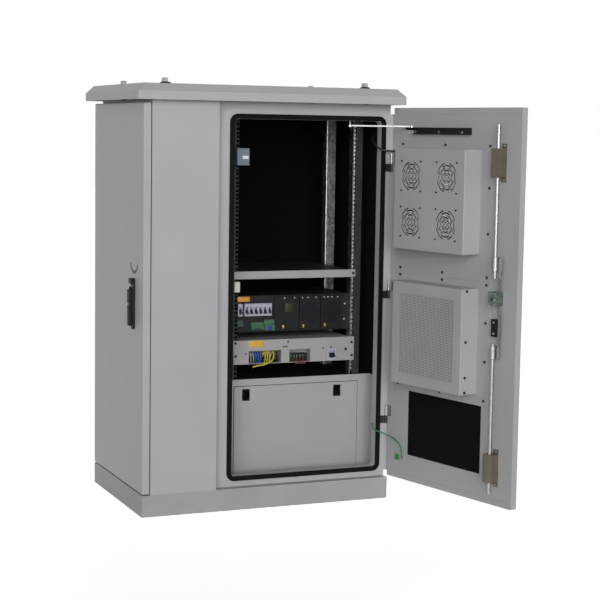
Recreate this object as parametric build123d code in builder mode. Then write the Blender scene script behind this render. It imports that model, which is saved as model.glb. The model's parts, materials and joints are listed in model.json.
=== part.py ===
"""Outdoor equipment cabinet on a plinth: rack bay with an open front door, side bay with a closed door."""
from build123d import *
from math import cos, degrees, pi, radians, sin, tan
import os

os.makedirs("parts", exist_ok=True)

# Cabinet body
cabinet_width = 950
cabinet_depth = 615
plinth_height = 77
body_top = 1453
sheet = 2
bend = 3
side_recess = 30
front_recess = 34
partition_setback = 23
overrun = 1
clearance = 0.3
fit = 0.05

# Plinth
plinth_sheet = 3
plinth_flange = 45
rear_flange = 30
anchor_inset = 35
anchor_radius = 7

# Floor and its cable entries
entry_depth = 80
entry_rear_gap = 55
entry_wide = 300
entry_narrow = 150
entry_inset = 50

# Roof cover and its fixings
overhang_side = 30
overhang_front = 36
overhang_rear = 29
skirt_height = 29
slope_height = 27
slope_inset = 25
roof_corner = 6
bolt_inset_x = 95
bolt_inset_y = 58
bolt_radius = 6
spacer_radius = 12
bolt_washer_radius = 20
bolt_washer_height = 7
bolt_washer_dish = 4
bolt_head_radius = 14
bolt_head_sides = 6
bolt_head_height = 14
bolt_head_chamfer = 2

# Front opening, its folded reveal and its seal
opening_left_gap = 66
opening_right_gap = 37
opening_bottom_gap = 40
opening_top_gap = 60
reveal_depth = 30
opening_radius = 14
gasket_offset = 3
gasket_width = 14
gasket_height = 7
gasket_crown = 2.5
keeper_radius = 8

# Side opening and its seal
side_lip_front = 45
side_lip_end = 48
side_reveal_depth = 18
side_gasket_height = 3
side_gasket_width = 12
side_gasket_crown = 1

# Door pans
front_door_width = 670
door_thickness = 26
door_lip = 20
side_door_lip = 40
door_gap = 3
sill_gap = 2
door_top_gap = 10
door_corner = 4
door_edge = 2.5
skin_seam = 0.8

# Hinge lines and the angle the front door stands open at
door_open_angle = 103
pin_outset = 5.5
pin_setback = 5
side_pin_setback = 2
hinge_first = 277
hinge_pitch = 467
hinge_count = 3
knuckle_radius = 5
hinge_pin_radius = 3
cabinet_knuckle = 28
door_knuckle = 40
leaf_thickness = 3
leaf_width = 18
pin_end_gap = 1

# Louvres pressed in the front door's outer face
louvre_left = 150
louvre_width = 340
louvre_pitch = 22
louvre_height = 9
louvre_stand = 7
louvre_wall = 1.5
louvre_throat = 4
louvre_low_gap = 9
louvre_low_count = 10
louvre_high_gap = 13
louvre_high_count = 15

# Fan unit on the inside of the front door
unit_left = 44
unit_edge = 130
unit_sheet = 1.5
unit_gap = 3
unit_bend = 4
fan_unit_drop = 108
fan_unit_height = 486
fan_box_left_inset = 58
fan_box_right_inset = 62
fan_box_foot = 91
fan_box_head = 35
box_height = 77
fan_pitch_x = 190
fan_pitch_z = 163
fan_size = 119
fan_corner = 5
fan_thickness = 25
fan_bore_radius = 56
fan_post_radius = 3
fan_post_height = 16
fan_plate = 3
fan_motor_radius = 20
strut_width = 8
rotor_hub_radius = 19
rotor_hub_height = 15
rotor_hub_edge = 2
rotor_wall = 2
rotor_tip_gap = 1.5
rotor_blade_count = 7
rotor_blade_thickness = 1.6
rotor_root_chord = 16
rotor_tip_chord = 20
rotor_root_pitch = 48
rotor_tip_pitch = 28
grille_radius = 50
grille_ring_pitch = 8.2
grille_ring_count = 6
grille_ring_slots = 4
grille_slot_width = 4.6
grille_bridge_share = 0.28

# Filter unit and intake window on the inside of the front door
filter_unit_foot = 56
filter_box_left_inset = 62
filter_box_right_inset = 60
filter_box_head = 23
filter_box_height = 369
window_frame = 40
grille_margin = 5
grille_columns = 8
grille_rows = 14
grille_gap_share = 0.5
grille_slot_share = 0.75
intake_left_inset = 73
intake_right_inset = 30
intake_foot = 41
intake_head = 38
pad_margin = 5
pad_thickness = 12
earth_stud_inset = 46
earth_stud_foot = 22
earth_stud_radius = 4
earth_stud_height = 10

# Three-point lock on the front door
rod_inset = 90
rod_stand = 20
rod_radius = 6
rod_end_gap = 7
rod_tail_upper = 25
rod_tail_lower = 6
sleeve_length = 46
sleeve_upper_start = 96
sleeve_lower_start = 161
sleeve_radius = 9
sleeve_edge = 1.5
clamp_reach = 23
rivet_inset = 6
rivet_pitch = 26
rivet_radius = 4
rivet_height = 3
bar_stand = 10
bar_width = 12
bar_thickness = 3
bar_upper_start = 10
bar_lower_start = 10
bar_upper_offset = 14
bar_case_offset = 10
bar_side_offset = 17.5
bar_clamp_offset = 15
bar_clear_above = 23
bar_clear_below = 9
bar_step = 20
bar_bend = 11
lock_case_left = 21
lock_case_right = 19
lock_case_below = 21
lock_case_above = 24
lock_case_height = 32
guide_width = 44
guide_height = 32
guide_length = 98
guide_upper_gap = 80
guide_lower_gap = 40
guide_ear = 16
guide_ear_width = 24
guide_sheet = 2
guide_bend = 3

# Swing handles, the same on both doors
handle_z = 797
handle_shift = 4
side_handle_y = 107
base_width = 30
base_below = 145
base_above = 35
base_thickness = 8
base_edge = 2
cap_start = 16
cap_height = 17
cap_corner = 6
lever_width = 26
lever_tip_width = 18
lever_thickness = 14
lever_length = 132
lever_edge = 3
lever_shoulder = 2
lever_pivot_radius = 2.5
hub_size = 14
hub_gap = 0.4
spindle_radius = 8
cam_reach = 75
cam_width = 14
cam_thickness = 5
cam_stand = 14
side_cam_stand = 26
housing_below = 128
housing_above = 72
housing_width = 28
housing_shift = -8
housing_height = 15
housing_edge = 3
boss_width = 12
key_drop = 55
key_radius = 9
key_height = 6
key_hole_radius = 5

# Door stay
stay_pivot_inset = 153
stay_pivot_y = 56
stay_drop = 17
stay_radius = 3
stay_eye_radius = 6
stay_eye_height = 5
stay_slot_start = 69
stay_slot_end = 423
stay_tongue = 45
stay_tongue_height = 10
stay_seat_x = 108
stay_bracket_height = 24
stay_bracket_depth = 14
stay_slot_width = 6
stay_pin_radius = 3

# Rack rails
rack_shift = 3
rack_hole_spacing = 465.1
rack_panel_width = 482.6
rack_clear = 450
rail_width = 38
rail_depth = 35
rail_front = 150
rear_rail_front = 395
rack_unit = 44.45
unit_holes_share = (0.143, 0.5, 0.857)
rail_hole = 9.5
rail_hole_units = 21

# Rack shelf
shelf_gap = 64
shelf_lip = 28
shelf_rear_gap = 75
panel_thickness = 2

# Power unit, placed from its left wall and its foot
power_setback = 22
power_gap = 27
power_height = 134
power_depth = 250
breaker_width = 17.5
breaker_height = 46
breaker_stand = 9
breaker_edge = 1
breaker_foot = 60
breaker_first = 6
breaker_row = 31
breaker_row_count = 6
breaker_pitch = 18
toggle_width = 8
toggle_slot = 9
toggle_slot_height = 26
toggle_slot_depth = 14
toggle_drop = 3
toggle_hub_radius = 5
toggle_tip_radius = 2.2
toggle_length = 15
toggle_rest_angle = 30
module_stand = 4
module_gap = 2
module_margin = 4
module_edge = 1.2
module_lefts = (150, 251, 337)
module_widths = (99, 84, 86)
module_depth = 6
module_fan_radius = 36
module_ring_width = 4
module_ring_depth = 1.5
module_ring_shares = (0.25, 0.5, 0.75, 1)
display_inset = 44
display_foot = 66
display_width = 35
display_height = 33
display_depth = 2
terminal_lefts = (4, 58, 110)
terminal_widths = (22, 50, 40)
terminal_feet = (23, 10, 5)
terminal_heights = (21, 26, 40)
terminal_stand = 12
terminal_step = 6
terminal_pitch = 7.5
terminal_hole_radius = 2
terminal_hole_depth = 4

# Distribution unit, placed the same way
distribution_gap = 55
distribution_height = 88
distribution_depth = 240
window_lefts = (44, 205)
window_widths = (128, 84)
window_height = 46
window_depth = 45
window_sill = 2
window_block_height = 28
window_block_depth = 22
window_block_gap = 5
main_breaker_left = 356
main_breaker_width = 36
main_breaker_foot = 4
main_breaker_height = 42
main_breaker_stand = 5
main_toggle_width = 22
main_toggle_slot = 23

# Battery compartment and its cover
battery_front = 148
battery_height = 368
battery_left_margin = 102
battery_right_margin = 70
battery_foot_margin = 14
battery_head_margin = 36
battery_mat = 3
cover_margin = 10
cover_sheet = 2
cover_corner = 3
finger_width = 30
finger_height = 43
finger_inset = 21
finger_right_inset = 59

# Insulation
foam = 10

# Small boxes on the left front rail
sensor_shift = 20
sensor_width = 47
sensor_drop = 213
sensor_height = 61
sensor_depth = 30
switch_width = 21
switch_lift = 18
switch_height = 38
switch_depth = 18
box_fillet = 2

# Cords that cross the front hinge: hand-chosen points from the cabinet's front right foot
earth_lug_y = 52
earth_lug_z = 282
earth_lug_length = 8
earth_wire_radius = 2.25
earth_wire_route = (
    (-43, 48.7, 278.2),
    (-49, 37, 266),
    (-45, 21, 254),
    (-22, 6, 247),
    (2, -10, 234),
    (12, -45, 226),
    (19, -64, 209),
    (25, -68, 184),
    (26, -62.3, 163.3),
)
fan_cable_radius = 3.5
fan_cable_route = (
    (-12.7, 100, 1345),
    (-38, 98, 1342),
    (-52, 78, 1326),
    (-54, 48, 1306),
    (-42, 24, 1292),
    (-26, 12, 1287),
    (-7.8, 13.1, 1286),
    (13.3, 17.9, 1286),
)
cord_arc_share = 0.45

# Places worked out from the sizes, across the cabinet from its left side and up from the floor
left = -cabinet_width / 2
right = cabinet_width / 2
front = -cabinet_depth / 2
floor_top = plinth_height + sheet
wall_top = body_top - sheet
column_width = cabinet_width - front_door_width - door_gap
partition_inset = column_width + partition_setback
opening_left = column_width + opening_left_gap
opening_right = cabinet_width - opening_right_gap
opening_bottom = plinth_height + opening_bottom_gap
opening_top = body_top - opening_top_gap
door_bottom = floor_top + sill_gap
door_top = body_top - door_top_gap
battery_top = floor_top + battery_height
hinge_feet = [hinge_first + index * hinge_pitch for index in range(hinge_count)]

# Places on the front door, along it from the hinge edge
unit_right = front_door_width - unit_edge
fan_unit_top = door_top - fan_unit_drop
fan_unit_bottom = fan_unit_top - fan_unit_height
fan_box_x = (unit_left + fan_box_left_inset, unit_right - fan_box_right_inset)
fan_box_z = (fan_unit_bottom + fan_box_foot, fan_unit_top - fan_box_head)
filter_unit_top = fan_unit_bottom - unit_gap
filter_unit_bottom = door_bottom + filter_unit_foot
filter_box_x = (unit_left + filter_box_left_inset, unit_right - filter_box_right_inset)
filter_box_z = (filter_unit_top - filter_box_head - filter_box_height, filter_unit_top - filter_box_head)
window_x = (filter_box_x[0] + window_frame, filter_box_x[1] - window_frame)
window_z = (filter_box_z[0] + window_frame, filter_box_z[1] - window_frame)
intake_x = (unit_left + intake_left_inset, unit_right - intake_right_inset)
intake_z = (filter_unit_bottom + intake_foot, filter_box_z[0] - intake_head)
box_face = box_height - unit_sheet
rod_x = front_door_width - rod_inset
front_handle_x = rod_x + handle_shift
rod_upper_end = opening_top - rod_end_gap
rod_lower_end = opening_bottom + rod_end_gap
stay_z = opening_top - stay_drop

# Front door's inner face as it stands open: x runs from the hinge edge, y up, z into the cabinet when closed
swing = radians(door_open_angle)
pin_x = right + pin_outset
pin_y = front + door_thickness + pin_setback
along = Vector(-cos(swing), -sin(swing), 0)
inward = Vector(-sin(swing), cos(swing), 0)
hinge_edge = Vector(pin_x, pin_y, 0) + along * pin_outset - inward * pin_setback
door_face = Plane(origin=hinge_edge, x_dir=along, z_dir=inward)

# Side door's inner face: x runs from the front edge to the rear, y up, z into the cabinet
side_face = Plane(origin=(left + door_thickness, front, 0), x_dir=(0, 1, 0), z_dir=(1, 0, 0))

# Cabinet views for drawing, all from its front left foot
front_view = Plane(origin=(left, front, 0), x_dir=(1, 0, 0), z_dir=(0, -1, 0))
plan_view = Plane(origin=(left, front, 0))
side_view = Plane(origin=(left, front, 0), x_dir=(0, 1, 0), z_dir=(1, 0, 0))


def slab(plane, x_span, y_span, start, end, mode=Mode.ADD, radius=0):
    """Add or cut a plate drawn on a plane, with square or round corners, between two heights."""
    with BuildSketch(plane.offset(start)) as outline:
        with Locations(((x_span[0] + x_span[1]) / 2, (y_span[0] + y_span[1]) / 2)):
            if radius > 0:
                RectangleRounded(x_span[1] - x_span[0], y_span[1] - y_span[0], radius)
            else:
                Rectangle(x_span[1] - x_span[0], y_span[1] - y_span[0])
    extrude(outline.sketch, amount=end - start, mode=mode)


def disc(plane, centre, radius, start, end, mode=Mode.ADD):
    """Add or cut a round boss or hole drawn on a plane."""
    with BuildSketch(plane.offset(start)) as outline:
        with Locations(centre):
            Circle(radius)
    extrude(outline.sketch, amount=end - start, mode=mode)


def folded(plane, points, start, end, width=sheet, radius=bend):
    """Add a folded strip: its middle line, with round bends, drawn on a plane and run along the normal."""
    with BuildSketch(plane.offset(start)) as profile:
        with BuildLine():
            FilletPolyline(*points, radius=radius)
        trace(line_width=width)
    extrude(profile.sketch, amount=end - start)


def grow(span, amount):
    """Widen a span by the same amount at both ends."""
    return span[0] - amount, span[1] + amount


def write(builder, name):
    """Label a finished piece and write its file."""
    builder.part.label = name
    export_step(builder.part, f"parts/{name}.step")


# Plinth: a folded channel frame with anchor holes in its bottom flange
anchor_pattern = (cabinet_width - 2 * anchor_inset, cabinet_depth - 2 * anchor_inset)
with BuildPart() as plinth:
    slab(plan_view, (0, cabinet_width), (0, cabinet_depth), 0, plinth_height, radius=bend)
    slab(
        plan_view,
        (plinth_sheet, cabinet_width - plinth_sheet),
        (plinth_sheet, cabinet_depth - plinth_sheet),
        plinth_sheet,
        plinth_height - plinth_sheet,
        Mode.SUBTRACT,
    )
    slab(
        plan_view,
        (plinth_flange, cabinet_width - plinth_flange),
        (plinth_flange, cabinet_depth - plinth_flange),
        -overrun,
        plinth_height + overrun,
        Mode.SUBTRACT,
    )
    with BuildSketch() as anchors:
        with GridLocations(*anchor_pattern, 2, 2):
            Circle(anchor_radius)
    extrude(anchors.sketch, amount=plinth_sheet + overrun, mode=Mode.SUBTRACT)
write(plinth, "plinth")

# Floor plate with one cable entry in each bay
entry_rear = cabinet_depth - entry_rear_gap
entry_rack = partition_inset + entry_inset
entry_side = side_recess + entry_inset
with BuildPart() as base_pan:
    slab(plan_view, (side_recess, cabinet_width), (0, cabinet_depth), plinth_height, floor_top)
    for start, size in ((entry_rack, entry_wide), (entry_side, entry_narrow)):
        slab(
            plan_view,
            (start, start + size),
            (entry_rear - entry_depth, entry_rear),
            plinth_height - overrun,
            floor_top + overrun,
            Mode.SUBTRACT,
        )
write(base_pan, "base_pan")

# Rear panel with returned edges
rear_middle = cabinet_depth - sheet / 2
return_left = side_recess + sheet * 3 / 2
return_right = cabinet_width - sheet * 3 / 2
with BuildPart() as rear_panel:
    folded(
        plan_view,
        (
            (return_left, cabinet_depth - rear_flange),
            (return_left, rear_middle),
            (return_right, rear_middle),
            (return_right, cabinet_depth - rear_flange),
        ),
        floor_top,
        wall_top,
    )
write(rear_panel, "rear_panel")

# Right wall
with BuildPart() as right_panel:
    slab(
        plan_view,
        (cabinet_width - sheet, cabinet_width),
        (front_recess, cabinet_depth),
        floor_top,
        wall_top,
    )
write(right_panel, "right_panel")

# Wall between the two bays
with BuildPart() as partition:
    slab(
        plan_view,
        (partition_inset, partition_inset + sheet),
        (front_recess + sheet, cabinet_depth - sheet),
        floor_top,
        wall_top,
    )
write(partition, "partition")

# Top plate under the roof, stepped back over the front door
with BuildPart() as top_pan:
    slab(plan_view, (side_recess, cabinet_width), (front_recess, cabinet_depth), wall_top, body_top)
    slab(plan_view, (side_recess, column_width), (0, front_recess), wall_top, body_top)
write(top_pan, "top_pan")

# Front frame: flat ring, folded reveal, keeper holes for the lock rods, the stay's pin and the earth stud
opening_x = (opening_left, opening_right)
opening_z = (opening_bottom, opening_top)
frame_face = front_view.offset(-front_recess)
keeper_place = (cabinet_width - rod_x, door_thickness + rod_stand)
stay_place = (cabinet_width - stay_pivot_inset, stay_pivot_y)
stay_foot = stay_z - stay_eye_height / 2 - clearance
with BuildPart() as front_frame:
    slab(frame_face, (column_width - sheet, cabinet_width - sheet), (floor_top, wall_top), -sheet, 0)
    slab(
        frame_face,
        grow(opening_x, sheet),
        grow(opening_z, sheet),
        -reveal_depth - sheet,
        -sheet,
        radius=opening_radius + sheet,
    )
    slab(
        frame_face,
        opening_x,
        opening_z,
        -reveal_depth - sheet - overrun,
        overrun,
        Mode.SUBTRACT,
        opening_radius,
    )
    for foot in (opening_bottom - sheet, opening_top):
        disc(plan_view, keeper_place, keeper_radius, foot - overrun, foot + sheet + overrun, Mode.SUBTRACT)
    disc(plan_view, stay_place, stay_pin_radius, stay_foot - sheet, opening_top)
    disc(plan_view, stay_place, stay_eye_radius, stay_foot - sheet, stay_foot)
    disc(side_view.offset(opening_right), (earth_lug_y, earth_lug_z), earth_stud_radius, -earth_lug_length, 0)
write(front_frame, "front_frame")

# Fixed front column left of the door, folded back to the frame
with BuildPart() as front_left_panel:
    folded(
        plan_view,
        (
            (side_recess + sheet, sheet / 2),
            (column_width - sheet / 2, sheet / 2),
            (column_width - sheet / 2, front_recess),
        ),
        floor_top,
        wall_top,
    )
write(front_left_panel, "front_left_panel")

# Frame behind the side door with its folded reveal
side_opening_y = (side_lip_front, cabinet_depth - side_lip_front)
side_opening_z = (plinth_height + side_lip_end, body_top - side_lip_end)
side_plane = side_view.offset(side_recess)
side_reveal_end = sheet + side_reveal_depth
with BuildPart() as side_frame:
    slab(side_plane, (0, cabinet_depth), (floor_top, wall_top), 0, sheet)
    slab(
        side_plane,
        grow(side_opening_y, sheet),
        grow(side_opening_z, sheet),
        sheet,
        side_reveal_end,
        radius=opening_radius + sheet,
    )
    slab(
        side_plane,
        side_opening_y,
        side_opening_z,
        -overrun,
        side_reveal_end + overrun,
        Mode.SUBTRACT,
        opening_radius,
    )
write(side_frame, "side_frame")

# Roof: a folded tray with sloped edges, carried on four spacer bolts
roof_size = (cabinet_width + 2 * overhang_side, cabinet_depth + overhang_front + overhang_rear)
roof_centre = (cabinet_width / 2, (cabinet_depth + overhang_rear - overhang_front) / 2)
skirt_top = body_top + skirt_height
roof_top = skirt_top + slope_height
bolt_pattern = (cabinet_width - 2 * bolt_inset_x, cabinet_depth - 2 * bolt_inset_y)
with BuildPart() as roof:
    with BuildSketch(plan_view.offset(body_top)) as skirt:
        with Locations(roof_centre):
            RectangleRounded(*roof_size, roof_corner)
    extrude(skirt.sketch, amount=skirt_height)
    with BuildSketch(plan_view.offset(skirt_top)) as slope_foot:
        with Locations(roof_centre):
            RectangleRounded(*roof_size, roof_corner)
    with BuildSketch(plan_view.offset(roof_top)) as slope_head:
        with Locations(roof_centre):
            RectangleRounded(roof_size[0] - 2 * slope_inset, roof_size[1] - 2 * slope_inset, roof_corner)
    loft(sections=(slope_foot.sketch.face(), slope_head.sketch.face()))
    offset(amount=-sheet, openings=roof.faces().sort_by(Axis.Z)[0])
    with BuildSketch(Plane.XY.offset(roof_top - sheet - overrun)) as roof_holes:
        with GridLocations(*bolt_pattern, 2, 2):
            Circle(bolt_radius + clearance)
    extrude(roof_holes.sketch, amount=sheet + 2 * overrun, mode=Mode.SUBTRACT)
write(roof, "roof")

# One roof bolt: spacer, shank and dished washer turned as one profile, with a hexagon head
with BuildPart() as roof_bolt:
    with BuildSketch(Plane.XZ) as bolt_profile:
        with BuildLine():
            Polyline(
                (0, body_top),
                (spacer_radius, body_top),
                (spacer_radius, roof_top - sheet),
                (bolt_radius, roof_top - sheet),
                (bolt_radius, roof_top),
                (bolt_washer_radius, roof_top),
                (bolt_washer_radius, roof_top + bolt_washer_height - bolt_washer_dish),
                (bolt_head_radius, roof_top + bolt_washer_height),
                (0, roof_top + bolt_washer_height),
                close=True,
            )
        make_face()
    revolve(bolt_profile.sketch, axis=Axis.Z)
    with BuildSketch(Plane.XY.offset(roof_top + bolt_washer_height)) as bolt_head:
        RegularPolygon(bolt_head_radius, bolt_head_sides)
    extrude(bolt_head.sketch, amount=bolt_head_height)
    chamfer(roof_bolt.faces().sort_by(Axis.Z)[-1].edges(), length=bolt_head_chamfer)

# The four roof bolts
with BuildPart() as roof_bolts:
    with GridLocations(*bolt_pattern, 2, 2):
        add(roof_bolt.part)
write(roof_bolts, "roof_bolts")

# Front door seal on the frame, crowned on its front edges
seal_x = grow(opening_x, gasket_offset)
seal_z = grow(opening_z, gasket_offset)
with BuildPart() as front_gasket:
    slab(
        frame_face,
        grow(seal_x, gasket_width),
        grow(seal_z, gasket_width),
        0,
        gasket_height,
        radius=opening_radius + gasket_width,
    )
    slab(frame_face, seal_x, seal_z, -overrun, gasket_height + overrun, Mode.SUBTRACT, opening_radius)
    fillet(front_gasket.faces().sort_by(Axis.Y)[0].edges(), radius=gasket_crown)
write(front_gasket, "front_gasket")

# Side door seal
side_seal_y = grow(side_opening_y, gasket_offset)
side_seal_z = grow(side_opening_z, gasket_offset)
with BuildPart() as side_gasket:
    slab(
        side_plane,
        grow(side_seal_y, side_gasket_width),
        grow(side_seal_z, side_gasket_width),
        -side_gasket_height,
        0,
        radius=opening_radius + side_gasket_width,
    )
    slab(
        side_plane,
        side_seal_y,
        side_seal_z,
        -side_gasket_height - overrun,
        overrun,
        Mode.SUBTRACT,
        opening_radius,
    )
    fillet(side_gasket.faces().sort_by(Axis.X)[0].edges(), radius=side_gasket_crown)
write(side_gasket, "side_gasket")

# Four rack rails: angle profiles on the battery mat, the front pair with square holes in rack pitch
rack_middle = (opening_left + opening_right) / 2 + rack_shift
body_left = rack_middle - rack_clear / 2
body_right = rack_middle + rack_clear / 2
panel_x = (rack_middle - rack_panel_width / 2, rack_middle + rack_panel_width / 2)
rail_top = wall_top - foam
with BuildPart() as rack_rails:
    for hand in (-1, 1):
        inner = rack_middle + hand * (rack_clear / 2 + sheet / 2)
        outer = rack_middle + hand * (rack_clear / 2 + rail_width)
        for face_y in (rail_front, rear_rail_front):
            folded(
                plan_view,
                ((outer, face_y + sheet / 2), (inner, face_y + sheet / 2), (inner, face_y + rail_depth)),
                battery_top + battery_mat,
                rail_top,
                radius=sheet,
            )
    hole_places = [
        (rack_middle + hand * rack_hole_spacing / 2, battery_top + (unit + share) * rack_unit)
        for hand in (-1, 1)
        for unit in range(rail_hole_units)
        for share in unit_holes_share
    ]
    with BuildSketch(front_view.offset(-rail_front)) as rail_holes:
        with Locations(*hole_places):
            Rectangle(rail_hole, rail_hole)
    extrude(rail_holes.sketch, amount=-sheet, mode=Mode.SUBTRACT)
write(rack_rails, "rack_rails")

# Units stacked in the rack, each from the one below it
distribution_z = (battery_top + distribution_gap, battery_top + distribution_gap + distribution_height)
power_z = (distribution_z[1] + power_gap, distribution_z[1] + power_gap + power_height)
shelf_z = (power_z[1] + shelf_gap, power_z[1] + shelf_gap + shelf_lip)
rack_face = front_view.offset(-rail_front)
power_face = rack_face.offset(-power_setback)
distribution_face = rack_face.offset(panel_thickness)

# Rack shelf: front lip with ears and a plate between the rails
shelf_depth = cabinet_depth - rail_front - shelf_rear_gap
with BuildPart() as rack_shelf:
    slab(rack_face, panel_x, shelf_z, 0, panel_thickness)
    slab(
        rack_face,
        (body_left + clearance, body_right - clearance),
        (shelf_z[1] - sheet, shelf_z[1]),
        -shelf_depth,
        0,
    )
write(rack_shelf, "rack_shelf")

# Power unit housing between the rails, with bays for its modules and breakers
module_spans = [
    (body_left + start, body_left + start + width) for start, width in zip(module_lefts, module_widths)
]
module_z = grow(power_z, -module_margin)
breaker_starts = [breaker_first] + [breaker_row + index * breaker_pitch for index in range(breaker_row_count)]
breaker_spans = [(body_left + start, body_left + start + breaker_width) for start in breaker_starts]
breaker_z = (power_z[0] + breaker_foot, power_z[0] + breaker_foot + breaker_height)
with BuildPart() as power_chassis:
    slab(power_face, (body_left, body_right), power_z, -power_depth, 0)
    for span in module_spans:
        slab(power_face, span, module_z, -module_depth, overrun, Mode.SUBTRACT)
    for span in breaker_spans:
        slab(power_face, span, breaker_z, -toggle_slot_depth, overrun, Mode.SUBTRACT)
write(power_chassis, "power_chassis")

# Breakers: each body and its slot, as face, span across, span up, stand, slot width and slot middle
breaker_middle = (breaker_z[0] + breaker_z[1]) / 2 - toggle_drop
main_x = (body_left + main_breaker_left, body_left + main_breaker_left + main_breaker_width)
main_z = (
    distribution_z[0] + main_breaker_foot,
    distribution_z[0] + main_breaker_foot + main_breaker_height,
)
main_middle = (main_z[0] + main_z[1]) / 2
breakers = [
    (power_face, span, breaker_z, breaker_stand, toggle_slot, breaker_middle) for span in breaker_spans
]
breakers.append((distribution_face, main_x, main_z, main_breaker_stand, main_toggle_slot, main_middle))
with BuildPart() as breaker_bodies:
    for face, span, height, stand, slot, middle in breakers:
        slab(face, span, height, -toggle_slot_depth, stand)
    fillet(
        [edge for solid in breaker_bodies.solids() for edge in solid.faces().sort_by(Axis.Y)[0].edges()],
        radius=breaker_edge,
    )
    for face, span, height, stand, slot, middle in breakers:
        centre = (span[0] + span[1]) / 2
        slab(
            face,
            (centre - slot / 2, centre + slot / 2),
            (middle - toggle_slot_height / 2, middle + toggle_slot_height / 2),
            stand - toggle_slot_depth,
            stand + overrun,
            Mode.SUBTRACT,
        )
write(breaker_bodies, "breaker_bodies")


def rocker(face, middle_x, middle_z, stand, width):
    """Make one breaker toggle: a hub across the slot that tapers to a round tip, thrown down."""
    pivot = Plane(
        origin=face.from_local_coords((middle_x, middle_z, stand - toggle_hub_radius)),
        x_dir=face.z_dir.rotate(Axis.X, toggle_rest_angle),
        z_dir=(1, 0, 0),
    )
    with BuildPart() as toggle:
        with BuildSketch(pivot.offset(-width / 2)) as outline:
            Circle(toggle_hub_radius)
            with Locations((toggle_length, 0)):
                Circle(toggle_tip_radius)
            make_hull()
        extrude(outline.sketch, amount=width)
    return toggle


# Toggles of the seven breakers, then of the two-pole one
for index, (face, span, height, stand, slot, middle) in enumerate(breakers[:-1]):
    toggle = rocker(face, (span[0] + span[1]) / 2, middle, stand, toggle_width)
    write(toggle, f"breaker_toggle_{index + 1}")
main_toggle = rocker(
    distribution_face, (main_x[0] + main_x[1]) / 2, main_middle, main_breaker_stand, main_toggle_width
)
write(main_toggle, "distribution_toggle")

# Plug-in modules: a controller with a display recess and two rectifiers with ringed fan faces
display_left = module_spans[0][0] + display_inset
display_bottom = module_z[0] + display_foot
ring_centres = [((span[0] + span[1]) / 2, (module_z[0] + module_z[1]) / 2) for span in module_spans[1:]]
with BuildPart() as plug_in_modules:
    for span in module_spans:
        slab(power_face, grow(span, -module_gap / 2), module_z, -module_depth, module_stand)
    fillet(
        [edge for solid in plug_in_modules.solids() for edge in solid.faces().sort_by(Axis.Y)[0].edges()],
        radius=module_edge,
    )
    with BuildSketch(power_face.offset(module_stand)) as rings:
        with Locations(*ring_centres):
            for share in reversed(module_ring_shares):
                Circle(module_fan_radius * share + module_ring_width / 2)
                Circle(module_fan_radius * share - module_ring_width / 2, mode=Mode.SUBTRACT)
    extrude(rings.sketch, amount=-module_ring_depth, mode=Mode.SUBTRACT)
    slab(
        power_face,
        (display_left, display_left + display_width),
        (display_bottom, display_bottom + display_height),
        module_stand - display_depth,
        module_stand + overrun,
        Mode.SUBTRACT,
    )
write(plug_in_modules, "plug_in_modules")

# Terminal blocks: three stepped ones on the power unit, two in the distribution unit's windows
window_spans = [
    (body_left + start, body_left + start + width) for start, width in zip(window_lefts, window_widths)
]
window_bottom = distribution_z[0] + window_sill
with BuildPart() as terminal_blocks:
    for start, width, foot, height in zip(terminal_lefts, terminal_widths, terminal_feet, terminal_heights):
        bottom = power_z[0] + foot
        step = Plane(
            origin=power_face.from_local_coords((body_left + start, bottom, 0)),
            x_dir=power_face.z_dir,
            z_dir=power_face.x_dir,
        )
        with BuildSketch(step) as block_side:
            with BuildLine():
                Polyline(
                    (0, 0),
                    (terminal_stand, 0),
                    (terminal_stand, -height / 2),
                    (terminal_stand - terminal_step, -height / 2),
                    (terminal_stand - terminal_step, -height),
                    (0, -height),
                    close=True,
                )
            make_face()
        extrude(block_side.sketch, amount=width)
        with BuildSketch(power_face.offset(terminal_stand)) as entries:
            with Locations((body_left + start + width / 2, bottom + height / 4)):
                with GridLocations(terminal_pitch, terminal_pitch, int(width / terminal_pitch), 1):
                    Circle(terminal_hole_radius)
        extrude(entries.sketch, amount=-terminal_hole_depth, mode=Mode.SUBTRACT)
    for span in window_spans:
        slab(
            distribution_face,
            grow(span, -window_block_gap),
            (window_bottom, window_bottom + window_block_height),
            -window_depth,
            -window_depth + window_block_depth,
        )
write(terminal_blocks, "terminal_blocks")

# Distribution unit: eared front panel, housing, two deep windows and a bay for the two-pole breaker
with BuildPart() as distribution_unit:
    slab(rack_face, panel_x, distribution_z, 0, panel_thickness)
    slab(rack_face, (body_left, body_right), distribution_z, -distribution_depth, 0)
    for span in window_spans:
        slab(
            distribution_face,
            span,
            (window_bottom, window_bottom + window_height),
            -window_depth,
            overrun,
            Mode.SUBTRACT,
        )
    slab(distribution_face, main_x, main_z, -toggle_slot_depth, overrun, Mode.SUBTRACT)
write(distribution_unit, "distribution_unit")

# Battery compartment: top shelf and front frame round its opening
battery_face = front_view.offset(-battery_front)
battery_x = (partition_inset + sheet, cabinet_width - sheet)
battery_open_x = (battery_x[0] + battery_left_margin, battery_x[1] - battery_right_margin)
battery_open_z = (floor_top + battery_foot_margin, battery_top - battery_head_margin)
with BuildPart() as battery_box:
    slab(battery_face, battery_x, (floor_top, battery_top), -sheet, 0)
    slab(
        plan_view,
        (battery_x[0], battery_x[1] - sheet),
        (battery_front + sheet, cabinet_depth - sheet),
        battery_top - sheet,
        battery_top,
        radius=bend,
    )
    slab(battery_face, battery_open_x, battery_open_z, -sheet - overrun, overrun, Mode.SUBTRACT)
write(battery_box, "battery_box")

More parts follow.
